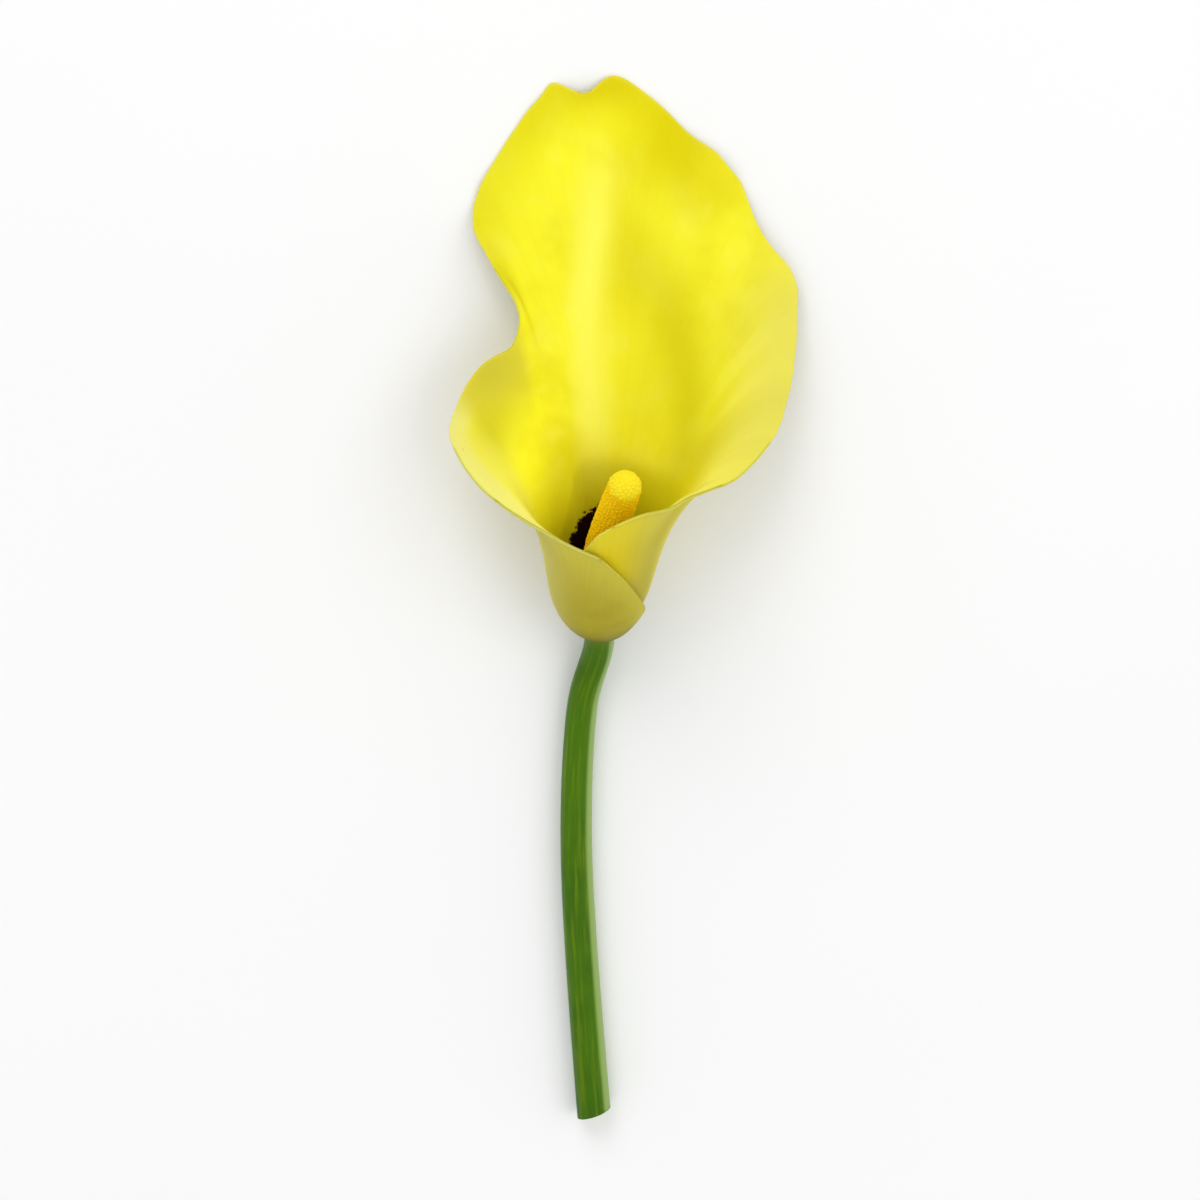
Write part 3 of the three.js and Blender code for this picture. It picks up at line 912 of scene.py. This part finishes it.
    def _outer(self, recipe: Recipe, clouds: Socket, veins: Socket) -> Socket:
        """Colour the outside, which is duller, greener at its foot and darkened with painted shade low on
        the front.

        Args:
            recipe: The material.
            clouds: Pattern of soft patches.
            veins: Pattern of fine lines up the sheet.

        Returns:
            The colour.
        """
        turn, rim, height, rib = map(recipe.attribute, ("turn", "rim", "height", "rib"))
        rise, hump = recipe.rise, recipe.hump
        behind = rise(recipe.math("ABSOLUTE", turn), 88, 128, 0.85, 0.0)
        foot = recipe.blend(behind, self.outside_foot_and_shade, self.foot_back)
        washes = (
            ("tube and blade", self.outside, rise(height, 8, 34, 0.3, 1.0)),
            # Painted shade low on the front of the tube.
            ("front", self.outside_low_and_shade, 0.6, hump(turn, -192, 40), hump(height, 16, 18)),
            ("side", self.outside_side, hump(turn, -118, 26), rise(height, 34, 44, 0.6, 0.0)),
            ("clouds", self.outside, rise(clouds, 0.4, 0.7, 0.0, 0.4)),
            ("lap", self.outside_warm, hump(turn, 178, 34), rise(height, 20, 34, 0.0, 0.95)),
            ("rim", self.pale, rise(rim, 1.0, 14.0, 0.2, 0.0)),
            ("veins", self.outside_low_and_shade, rise(veins, 0.4, 0.72, 0.0, 0.12)),
            ("midrib", self.outside_low_and_shade, 0.4, hump(rib, 0.0, 1.6)),
            ("back", self.outside_back, behind),
            # Greener at the foot, with painted shade at its front.
            ("foot", foot, rise(height, -0.5, 12.0, 0.95, 0.0)),
        )
        return recipe.washed(self.outside_low_and_shade, washes)


@dataclass(frozen=True)
class Spathe:
    """The spathe: one sheet with two faces, a rounded rim and a solid foot that closes the tube."""

    lie: Lie
    sheet: Sheet = Sheet()
    folds: Folds = Folds()
    ripples: Ripples = Ripples()
    finish: SpatheFinish = SpatheFinish()
    column_steps: int = 4
    row_steps: int = 5
    thickness_at_base: float = 1.0
    thickness_at_rim: float = 0.7
    wrapped_from: float = 165.0
    wrapped_over: float = 20.0
    lip_steps: int = 4
    rib_shares: tuple[float, ...] = (0.0, 0.45, 0.6, 0.75, 1.0)
    rib_turns: tuple[float, ...] = (0.0, -3.0, -6.0, 0.5, 3.0)
    foot_profile: Rows = (
        (0.0, -1.7), (2.9, -1.7), (3.3, -1.35), (3.5, -0.7), (3.85, 0.0),
        (4.4, 0.8), (5.1, 1.8), (5.8, 3.0), (0.0, 3.0),
    )
    foot_sides: int = 72
    foot_gap: float = 99.0
    speck_places: Rows = ((27.5, 0.7), (-103.0, 0.94))

    def middle(self) -> Surface:
        """Refine the sheet's grid and measure how far its points are from rim and midrib.

        Returns:
            The middle surface, still plain.
        """
        turns, grid = self.sheet.grid()
        grid = refined(refined(grid, self.column_steps).swapaxes(0, 1), self.row_steps).swapaxes(0, 1)
        turns = np.interp(np.linspace(0, len(turns) - 1, len(grid)), np.arange(len(turns)), turns)
        shares = np.linspace(0, 1, grid.shape[1])
        steps = np.linalg.norm(np.diff(grid, axis=1), axis=2)
        to_rim = np.cumsum(steps[:, ::-1], axis=1)[:, ::-1]
        rim_gap = np.concatenate((to_rim, np.zeros((len(turns), 1))), axis=1)
        rib_turns = np.interp(shares, self.rib_shares, self.rib_turns)
        rows = zip(rib_turns, grid.swapaxes(0, 1))
        rib = np.array([[np.interp(turn, turns, column) for column in row.T] for turn, row in rows])
        side = np.sign(turns[:, None] - rib_turns[None, :])
        return Surface(turns, shares, grid, rim_gap, side * np.linalg.norm(grid - rib[None], axis=2))

    def directions(self, surface: Surface) -> np.ndarray:
        """Give the direction across the sheet, towards its inside.

        On the wrapped flaps it points straight at the tube's axis.

        Args:
            surface: The middle surface.

        Returns:
            A direction for each point.
        """
        grid = surface.grid
        square = unit(np.cross(np.gradient(grid, axis=0), np.gradient(grid, axis=1)))
        to_axis = unit(grid * (-1, -1, 0))
        wrapped = smooth_step((np.abs(surface.turns) - self.wrapped_from) / self.wrapped_over)
        wrapped = wrapped[:, None, None]
        return unit(square * (1 - wrapped) + to_axis * wrapped)

    def build(self) -> bpy.types.Object:
        """Build the spathe.

        Returns:
            The finished piece.
        """
        plain = self.middle()
        lift = self.ripples.lift(plain) - self.folds.depth(plain)
        surface = replace(plain, grid=plain.grid + self.directions(plain) * lift[..., None])
        patch = self._faces(surface)
        patch.add(self._foot())
        placing = self.lie.placing()
        bmesh.ops.transform(patch.mesh, matrix=placing, verts=patch.mesh.verts)
        specks = [placing @ self._point(surface, *spot) for spot in self.speck_places]
        return patch.finish("spathe_sheet", self.finish.material(specks), Node.SPATHE, Slot.SPATHE)

    def _point(self, surface: Surface, turn: float, share: float) -> Vector:
        """Give the point of the surface that is nearest to a turn and a share."""
        column = np.argmin(np.abs(surface.turns - turn))
        return Vector(surface.grid[column, np.argmin(np.abs(surface.shares - share))])

    def _faces(self, surface: Surface) -> Patch:
        """Give the middle surface its two faces and its rounded edges.

        Args:
            surface: The pressed and rippled middle surface.

        Returns:
            A closed shell in the bloom's frame.
        """
        turns, shares, grid = surface.turns, surface.shares, surface.grid.copy()
        half = (self.thickness_at_base + (self.thickness_at_rim - self.thickness_at_base) * shares) / 2
        out = unit(grid[:, -1] - grid[:, -2])
        grid[:, -1] -= out * half[-1]
        corner = (math.pi / 2, math.pi / 4)
        roundings = np.array([*corner, *np.zeros(len(turns)), *reversed(corner)])[:, None]
        order = np.array([0, 0, *range(len(turns)), len(turns) - 1, len(turns) - 1])
        sideways = np.zeros((len(order), len(shares), 3))
        sideways[:2] = unit(grid[0] - grid[1])
        sideways[-2:] = unit(grid[-1] - grid[-2])
        middle = grid[order] + sideways * (half * np.sin(roundings))[..., None]
        across = self.directions(replace(surface, grid=grid))[order]
        offset = across * (half * np.cos(roundings))[..., None]
        lip_angles = np.linspace(0, math.pi, self.lip_steps + 2)[1:-1]
        lip_out = out[order][:, None] * (half[-1] * np.sin(lip_angles))[:, None]
        lip = middle[:, -1:] + offset[:, -1:] * np.cos(lip_angles)[:, None]
        lip = lip + lip_out * np.cos(roundings)[..., None]
        inner, outer = middle + offset, middle - offset
        points = np.concatenate((inner, lip, outer[:, ::-1], inner[:, :1]), axis=1)

        def around(values: np.ndarray, at_lip: np.ndarray) -> np.ndarray:
            """Repeat the values of the middle surface for both faces, with the lip between them.

            Args:
                values: Values for the lines and rows, or spread over them.
                at_lip: Values for the lip, spread over it.

            Returns:
                A value for each point of the shell.
            """
            ordered = np.broadcast_to(values, grid.shape[:2])[order]
            lip_values = np.broadcast_to(at_lip, (len(order), len(lip_angles)))
            return np.concatenate((ordered, lip_values, ordered[:, ::-1], ordered[:, :1]), axis=1)

        inside = around(np.ones(1), (1 + np.cos(lip_angles)) / 2)
        inside[:, len(shares) + len(lip_angles):] = 0.0
        values = {
            "turn": around(turns[:, None], turns[order][:, None]),
            "share": around(shares, np.ones(1)),
            "inside": inside,
            "rim": around(surface.rim_gap, np.zeros(1)),
            "height": points[..., 2],
            "rib": around(surface.rib_gap, surface.rib_gap[order][:, -1:]),
        }
        return Patch(points, values)

    def _foot(self) -> Patch:
        """Turn the solid foot from its profile.

        Returns:
            A closed shell in the bloom's frame.
        """
        profile = np.array(self.foot_profile)
        angles = np.linspace(0, 2 * math.pi, self.foot_sides + 1)
        right = np.outer(np.sin(angles), profile[:, 0])
        back = np.outer(np.cos(angles), profile[:, 0])
        height = np.broadcast_to(profile[:, 1], right.shape)
        values = {
            "turn": np.degrees(angles)[:, None] - 180,
            "share": 0.0,
            "inside": 0.0,
            "rim": self.foot_gap,
            "height": height,
            "rib": self.foot_gap,
        }
        return Patch(np.stack((right, back, height), axis=2), values)


@dataclass(frozen=True)
class SpadixLine:
    """The middle line of the spadix, from its foot in the tube to its dome."""

    points: Rows = (
        (0, 0, 3.3), (-0.6, 0, 16), (-0.2, -0.5, 28),
        (1.5, -1.2, 40), (2.7, -1.8, 47.5), (3.1, -2.1, 51.4),
    )
    steps: int = 60

    def at(self, shares: np.ndarray) -> tuple[np.ndarray, np.ndarray]:
        """Read the line.

        Args:
            shares: Shares of its length.

        Returns:
            The points there and the directions of the line.
        """
        line = refined(np.array(self.points, float), self.steps)
        lengths = lengths_along(line)
        slopes = unit(np.gradient(line, axis=0))
        wanted = shares * lengths[-1]
        read = [[np.interp(wanted, lengths, column) for column in table.T] for table in (line, slopes)]
        return np.stack(read[0], axis=-1), unit(np.stack(read[1], axis=-1))


@dataclass(frozen=True)
class GrainFinish:
    """Colours and surface of a grained zone of the spadix."""

    name: str
    body: Tint
    # Colour above a ragged line near the top; on the stamens it is a painted highlight on the dome.
    top: Tint
    groove: Tint
    crown: Tint
    top_from: float
    roughness: float
    powder: float
    patches: Pattern = Pattern(260, 3, 0.6)
    dust: Pattern = Pattern(2600, 2, 0.7)
    dust_relief: float = 0.00006
    top_over: float = 0.025
    top_ragged: float = 0.012
    polish: float = 0.12

    def material(self) -> bpy.types.Material:
        """Build the material.

        Returns:
            The material.
        """
        recipe = Recipe(self.name)
        rise = recipe.rise
        patches, dust = recipe.noise(self.patches), recipe.noise(self.dust)
        ragged = rise(patches, 0.3, 0.7, -self.top_ragged, self.top_ragged)
        up = recipe.math("ADD", recipe.attribute("share"), ragged)
        washes = (
            ("patches", self.crown, rise(patches, 0.35, 0.7, 0.0, 0.25)),
            ("single grains", self.crown, recipe.attribute("pick"), 0.2),
            ("grooves", self.groove, rise(recipe.attribute("raised"), 0.0, 0.5, 0.6, 0.0)),
            # Lighter above a ragged line; on the stamens this is a painted highlight where light falls on
            # the dome.
            ("top", self.top, rise(up, self.top_from, self.top_from + self.top_over, 0.0, 0.85)),
            ("dust", self.crown, rise(dust, 0.52, 0.7, 0.0, self.powder)),
        )
        return recipe.finished(
            Base_Color=recipe.washed(self.body, washes),
            Roughness=rise(dust, 0.3, 0.7, self.roughness - self.polish, self.roughness),
            Normal=recipe.relief(dust, self.dust_relief),
            Subsurface_Weight=0.2,
            Subsurface_Radius=(1.0, 0.6, 0.15),
            Subsurface_Scale=0.0006,
            Specular_IOR_Level=0.12,
        )


@dataclass(frozen=True)
class GrainedZone:
    """A zone of the spadix that is covered with small grains: stamens above, ovaries below."""

    name: str
    lie: Lie
    finish: GrainFinish
    node: Node
    slot: Slot
    start: float
    end: float
    radius_low: float
    radius_high: float
    dome_share: float
    grain_size: float
    grain_height: float
    pit_depth: float
    sides: int
    rows: int
    line: SpadixLine = SpadixLine()
    foot_share: float = 0.02
    row_crowding: float = 0.45
    grain_area: float = 0.87
    groove_share: float = 0.8
    pit_share: float = 0.22
    lowest_grain: float = 0.75
    pole_share: float = 0.625
    wobble: float = 0.12
    wobble_step: float = 12.9898
    pick_step: float = 78.233
    pick_spread: float = 43758.5453

    def _profile(self) -> tuple[np.ndarray, np.ndarray]:
        """Work out the rows of the zone, from pole to pole.

        Returns:
            The shares of the rows and the radius of each.
        """
        zone = np.linspace(0, 1, self.rows)
        eased = zone + self.dome_share * self.row_crowding * np.sin(math.pi * zone) * (zone - 0.5)
        shares = self.start + (self.end - self.start) * eased
        body = self.radius_low + (self.radius_high - self.radius_low) * zone
        into_dome = np.clip((shares - (self.end - self.dome_share)) / self.dome_share, 0, 1)
        into_foot = np.clip((self.start + self.foot_share - shares) / self.foot_share, 0, 1)
        return shares, body * np.sqrt(1 - into_dome**2) * np.sqrt(1 - into_foot**2)

    def _surface(self, shares: np.ndarray, radii: np.ndarray, angles: np.ndarray) -> np.ndarray:
        """Give points round the line, in the bloom's frame, at shares of its length."""
        middle, forward = self.line.at(shares)
        return middle + round_line(forward, radii, angles)

    def _seeds(self, shares: np.ndarray, radii: np.ndarray) -> np.ndarray:
        """Spread the middles of the grains evenly on a golden spiral.

        Args:
            shares: Shares of the rows.
            radii: Radii of the rows.

        Returns:
            The middles of the grains.
        """
        ring = self._surface(shares, radii, np.zeros_like(shares))
        slant = np.linalg.norm(np.diff(ring, axis=0), axis=1)
        area = np.append(0.0, np.cumsum(math.pi * (radii[1:] + radii[:-1]) * slant))
        count = int(area[-1] / (self.grain_area * self.grain_size**2))
        number = np.arange(count)
        wanted = (number + 0.5) / count * area[-1]
        angles = number * GOLDEN_TURN + self.wobble * np.sin(number * self.wobble_step)
        return self._surface(np.interp(wanted, area, shares), np.interp(wanted, area, radii), angles)

    def _raised(self, points: np.ndarray, seeds: np.ndarray) -> tuple[np.ndarray, np.ndarray]:
        """Give how far each point stands out on its grain, and a fixed random number for the grain.

        Args:
            points: Points of the smooth zone.
            seeds: Middles of the grains.

        Returns:
            The height, as a share of the tallest grain, and the number from 0 to 1.
        """
        tree = KDTree(len(seeds))
        for number, seed in enumerate(seeds):
            tree.insert(seed, number)
        tree.balance()
        found = [tree.find_n(point, 2) for point in points.reshape(-1, 3)]
        nearest = np.array([(own[1], own[2], other[2]) for own, other in found])
        numbers, first, second = nearest.T.reshape(3, *points.shape[:2])
        pick = np.abs(np.sin(numbers * self.pick_step + 1.0) * self.pick_spread) % 1.0
        share_in = np.clip((second - first) / (self.groove_share * self.grain_size), 0, 1)
        crown = np.sqrt(1 - (1 - share_in) ** 2)
        pit = self.pit_depth * bell(first, 0.0, self.pit_share * self.grain_size)
        return crown * (self.lowest_grain + (1 - self.lowest_grain) * pick) - pit, pick

    def build(self) -> bpy.types.Object:
        """Build the zone.

        Returns:
            The finished piece.
        """
        row_shares, row_radii = self._profile()
        shares, angles = np.meshgrid(row_shares, closed_angles(self.sides))
        radii = np.broadcast_to(row_radii, shares.shape)
        smooth = self._surface(shares, radii, angles)
        raised, pick = self._raised(smooth, self._seeds(row_shares, row_radii))
        middle, forward = self.line.at(shares)
        at_pole = np.clip(1 - radii / (self.radius_low * self.pole_share), 0, 1)[..., None]
        forward = forward * np.where(shares > (self.start + self.end) / 2, 1, -1)[..., None]
        out = unit(unit(smooth - middle) * (1 - at_pole) + forward * at_pole)
        points = smooth + out * (raised * self.grain_height)[..., None]
        for pole in (0, -1):
            points[:, pole] = points[:, pole].mean(axis=0)
        patch = Patch(points, {"share": shares, "raised": raised, "pick": pick})
        bmesh.ops.transform(patch.mesh, matrix=self.lie.placing(), verts=patch.mesh.verts)
        return patch.finish(self.name, self.finish.material(), self.node, self.slot)


@dataclass(frozen=True)
class StemFinish:
    """Colours and surface of the stem and of its cut end."""

    green: Tint = colour(70, 112, 3)
    deep: Tint = colour(56, 98, 2)
    light: Tint = colour(110, 136, 10)
    # Painted highlight: a pale streak down the right side of the stem, where light glances off it.
    painted_flank_highlight: Tint = colour(150, 178, 96)
    under_bloom: Tint = colour(112, 136, 30)
    cut: Tint = colour(206, 214, 150)
    vessel: Tint = colour(146, 168, 88)
    cut_edge: Tint = colour(110, 140, 50)
    clouds: Pattern = Pattern(60, 3, 0.55)
    fine: Pattern = Pattern(1400, 2, 0.6)
    streaks: Streaks = Streaks(3.2, 5.0, Pattern(1.0, 3, 0.6))
    flecks: Streaks = Streaks(5.0, 70.0, Pattern(1.0, 2, 0.7))
    vessels_per_metre: float = 900.0
    streak_relief: float = 0.00015
    fine_relief: float = 0.00002

    def material(self) -> bpy.types.Material:
        """Build the material.

        Returns:
            The material.
        """
        recipe = Recipe("stem_skin")
        rise = recipe.rise
        share, angle, cut = map(recipe.attribute, ("share", "angle", "cut"))
        clouds = recipe.noise(self.clouds)
        streaks = recipe.streaks(angle, share, self.streaks)
        flecks = recipe.streaks(angle, share, self.flecks)
        face = recipe.washed(self.cut, (
            ("vessels", self.vessel, rise(recipe.cells(self.vessels_per_metre), 0.12, 0.34, 0.8, 0.0)),
            ("edge of the cut", self.cut_edge, rise(cut, 0.0, 0.28, 1.0, 0.0)),
        ))
        skin = recipe.washed(self.green, (
            ("clouds", self.deep, rise(clouds, 0.35, 0.7)),
            ("streaks", self.light, rise(streaks, 0.45, 0.72, 0.0, 0.6)),
            ("flecks", self.deep, rise(flecks, 0.62, 0.78, 0.0, 0.35)),
            # Painted highlight down the right side of the stem.
            ("painted_flank_highlight", self.painted_flank_highlight, rise(angle, 2.1, 2.45, 0.0, 0.85)),
            ("under the bloom", self.under_bloom, rise(share, 0.0, 0.05, 0.5, 0.0)),
            ("cut face", face, rise(cut, 0.0, 0.05)),
        ))
        fine = recipe.relief(recipe.noise(self.fine), self.fine_relief)
        return recipe.finished(
            Base_Color=skin,
            Roughness=rise(clouds, 0.3, 0.7, 0.3, 0.42),
            Normal=recipe.relief(streaks, self.streak_relief, Normal=fine),
            Subsurface_Weight=0.12,
            Subsurface_Radius=(0.5, 1.0, 0.2),
            Subsurface_Scale=0.0012,
            Specular_IOR_Level=0.12,
        )


@dataclass(frozen=True)
class Stem:
    """The stem: it leaves the bloom along the tube, bends down to the surface and lies on it."""

    lie: Lie
    finish: StemFinish = StemFinish()
    sway: Rows = ((0, 0), (-0.6, -7), (-3, -15.5), (-4.6, -27), (-5.4, -50), (-4.2, -80), (-2, -112))
    sway_steps: int = 60
    radius_top: float = 3.2
    radius_cut: float = 3.7
    cut_slant: float = 0.25
    slant_shares: tuple[float, ...] = (0.0, 0.9, 1.0)
    cut_dish: float = 0.125
    cut_bevel: float = 0.97
    cut_inner: float = 0.9
    cut_rows: int = 8
    top_share: float = 0.004
    rib_count: int = 11
    rib_height: float = 0.05
    sides: int = 72
    rows: int = 260

    def middle(self) -> tuple[np.ndarray, np.ndarray]:
        """Run the middle line down from the bloom in an arc and along the surface.

        Returns:
            Evenly spaced points of the line and its directions there.
        """
        plan = refined(np.array(self.sway, float), self.sway_steps)
        right, back, base_height = self.lie.base
        slope = math.pi / 2 - math.radians(self.lie.tipped_back)
        bend_radius = (base_height - self.radius_top) / (1 - math.cos(slope))
        along = -plan[:, 1]
        sine = np.maximum(0, math.sin(slope) - along / bend_radius)
        lying = self.radius_top + (self.radius_cut - self.radius_top) * along / along[-1]
        height = lying + bend_radius * (1 - np.sqrt(1 - sine * sine))
        line = np.column_stack((right + plan[:, 0], back + plan[:, 1], height))
        lengths = lengths_along(line)
        wanted = np.linspace(self.top_share, 1, self.rows) * lengths[-1]
        even = np.column_stack([np.interp(wanted, lengths, column) for column in line.T])
        return even, unit(np.gradient(even, axis=0))

    def build(self) -> bpy.types.Object:
        """Build the stem.

        Returns:
            The finished piece.
        """
        middle, forward = self.middle()
        angles = closed_angles(self.sides)[:, None]
        shares = np.linspace(self.top_share, 1, self.rows)
        radii = self.radius_top + (self.radius_cut - self.radius_top) * shares
        reach = radii - self.rib_height * (0.5 + 0.5 * np.cos(self.rib_count * angles))
        slant = np.zeros(self.rows)
        slant[-len(self.slant_shares):] = self.cut_slant * np.array(self.slant_shares)
        lean = forward * (slant * reach * np.cos(angles))[..., None]
        skin = middle + round_line(forward, reach, angles) + lean
        cut_shares = np.append(self.cut_bevel, np.linspace(self.cut_inner, 0.0, self.cut_rows))
        dish = self.cut_dish * np.sin(math.pi * (1 - cut_shares))
        cut_ring = skin[:, -1] - middle[-1]
        cut = middle[-1] + cut_ring[:, None] * cut_shares[:, None] - forward[-1] * dish[:, None]
        top = np.broadcast_to(middle[0], (len(angles), 1, 3))
        points = np.concatenate((top, skin, cut), axis=1)
        values = {
            "share": np.concatenate((shares[:1], shares, np.ones(len(cut_shares)))),
            "angle": np.minimum(angles, 2 * math.pi - angles),
            "cut": np.concatenate((np.zeros(self.rows + 1), 1 - cut_shares)),
        }
        patch = Patch(points * METRES_PER_MM, values)
        return patch.finish("stem_stalk", self.finish.material(), Node.STEM, Slot.STEM)


@dataclass(frozen=True)
class Lamp:
    """A soft square light, placed from the target: to the right, up and towards the camera."""

    name: str
    right: float
    up: float
    towards: float
    size: float
    watts: float

    def hang(self, target: Vector, axes: Matrix) -> None:
        """Hang the light and point it at its target.

        Args:
            target: What it points at.
            axes: The camera's axes, as columns.
        """
        data = bpy.data.lights.new(self.name, "AREA")
        data.shape = "SQUARE"
        data.size = self.size
        data.energy = self.watts
        lamp = put_in_scene(self.name, data)
        lamp.location = target + axes @ Vector((self.right, self.up, self.towards))
        lamp.rotation_mode = "QUATERNION"
        lamp.rotation_quaternion = (target - lamp.location).to_track_quat("-Z", "Y")


@dataclass(frozen=True)
class Studio:
    """The pale surface, the soft lights and the camera."""

    lie: Lie
    picture_width: float = 0.2562
    camera_distance: float = 2.2
    camera_nearest: float = 0.05
    camera_farthest: float = 20.0
    sensor: float = 36.0
    above_base: float = 5.5
    axis_in_picture: tuple[float, float, float] = (0.05, 0.64, 0.766)
    back_in_picture: tuple[float, float, float] = (0.0, 0.766, -0.643)
    lamps: tuple[Lamp, ...] = (
        Lamp("key", right=-0.45, up=1.15, towards=1.8, size=1.2, watts=13.2),
        Lamp("fill", right=1.35, up=-0.3, towards=1.95, size=1.5, watts=9.0),
    )
    room_colour: Tint = (1.0, 1.0, 1.0, 1.0)
    room_light: float = 0.78
    floor_size: float = 6.0
    floor_segments: int = 8
    floor_grey: Tint = colour(244, 244, 245)
    floor_white: Tint = colour(248, 248, 248)
    floor_pattern: Pattern = Pattern(6, 2, 0.5)

    def picture_frame(self) -> Matrix:
        """Work out the camera's axes.

        Returns:
            The axes as columns, in the frame of the solids.
        """
        axis = Vector(self.axis_in_picture).normalized()
        back = Vector(self.back_in_picture)
        back = (back - axis * back.dot(axis)).normalized()
        return self.lie.turning() @ Matrix((back.cross(axis), back, axis))

    def floor(self) -> None:
        """Lay the pale surface."""
        segments = self.floor_segments
        shape = bmesh.new()
        bmesh.ops.create_grid(shape, x_segments=segments, y_segments=segments, size=self.floor_size / 2)
        data = bpy.data.meshes.new("surface")
        shape.to_mesh(data)
        shape.free()
        recipe = Recipe("pale_surface")
        tone = recipe.blend(recipe.noise(self.floor_pattern), self.floor_white, self.floor_grey)
        data.materials.append(recipe.finished(Base_Color=tone, Roughness=0.9, Specular_IOR_Level=0.1))
        floor = put_in_scene("surface", data)

    def build(self) -> None:
        """Set up the surface, the lights and the camera."""
        self.floor()
        scene = bpy.context.scene
        scene.view_settings.view_transform = "Standard"
        scene.world = bpy.data.worlds.new("soft_room")
        scene.world.use_nodes = True
        background = scene.world.node_tree.nodes["Background"]
        background.inputs["Color"].default_value = self.room_colour
        background.inputs["Strength"].default_value = self.room_light
        axes = self.picture_frame()
        target = (Vector(self.lie.base) + axes.col[1] * self.above_base) * METRES_PER_MM
        for lamp in self.lamps:
            lamp.hang(target, axes)
        camera = put_in_scene("camera", bpy.data.cameras.new("camera"))
        camera.data.sensor_width = self.sensor
        camera.data.lens = self.sensor * self.camera_distance / self.picture_width
        camera.data.clip_start = self.camera_nearest
        camera.data.clip_end = self.camera_farthest
        place = Matrix.Translation(target + axes.col[2] * self.camera_distance)
        camera.matrix_world = place @ axes.to_4x4()
        scene.camera = camera


def spadix(lie: Lie) -> tuple[GrainedZone, GrainedZone]:
    """Describe the two zones of the spadix.

    Args:
        lie: How the bloom lies.

    Returns:
        The stamens and the ovaries.
    """
    stamens = GrainedZone(
        name="spadix_stamen_grains", lie=lie,
        finish=GrainFinish(
            name="stamen_powder",
            body=colour(250, 202, 2),
            # Painted highlight on the top of the dome.
            top=colour(247, 228, 36),
            groove=colour(232, 165, 2),
            crown=colour(250, 212, 10),
            top_from=0.92, roughness=0.75, powder=0.12,
        ),
        node=Node.STAMENS, slot=Slot.STAMENS,
        start=0.251, end=1.0, radius_low=4.2, radius_high=3.2, dome_share=0.07,
        grain_size=0.95, grain_height=0.42, pit_depth=0.25,
        sides=190, rows=330,
    )
    ovaries = GrainedZone(
        name="spadix_ovary_beads", lie=lie,
        finish=GrainFinish(
            name="ovary_skin",
            body=colour(186, 202, 110),
            top=colour(206, 216, 132),
            groove=colour(128, 150, 62),
            crown=colour(232, 236, 176),
            top_from=0.1, roughness=0.5, powder=0.1,
        ),
        node=Node.OVARIES, slot=Slot.OVARIES,
        start=0.0, end=0.252, radius_low=3.6, radius_high=3.6, dome_share=0.02,
        grain_size=1.9, grain_height=0.9, pit_depth=0.35,
        sides=110, rows=90,
    )
    return stamens, ovaries


def main() -> None:
    """Build every piece of the flower and the studio round it."""
    logging.basicConfig(level=logging.INFO, format="%(name)s: %(message)s")
    lie = Lie()
    stamens, ovaries = spadix(lie)
    for part in (Spathe(lie), stamens, ovaries, Stem(lie)):
        piece = part.build()
        LOG.info("built %s", piece.name)
    Studio(lie).build()


if __name__ == "__main__":
    main()
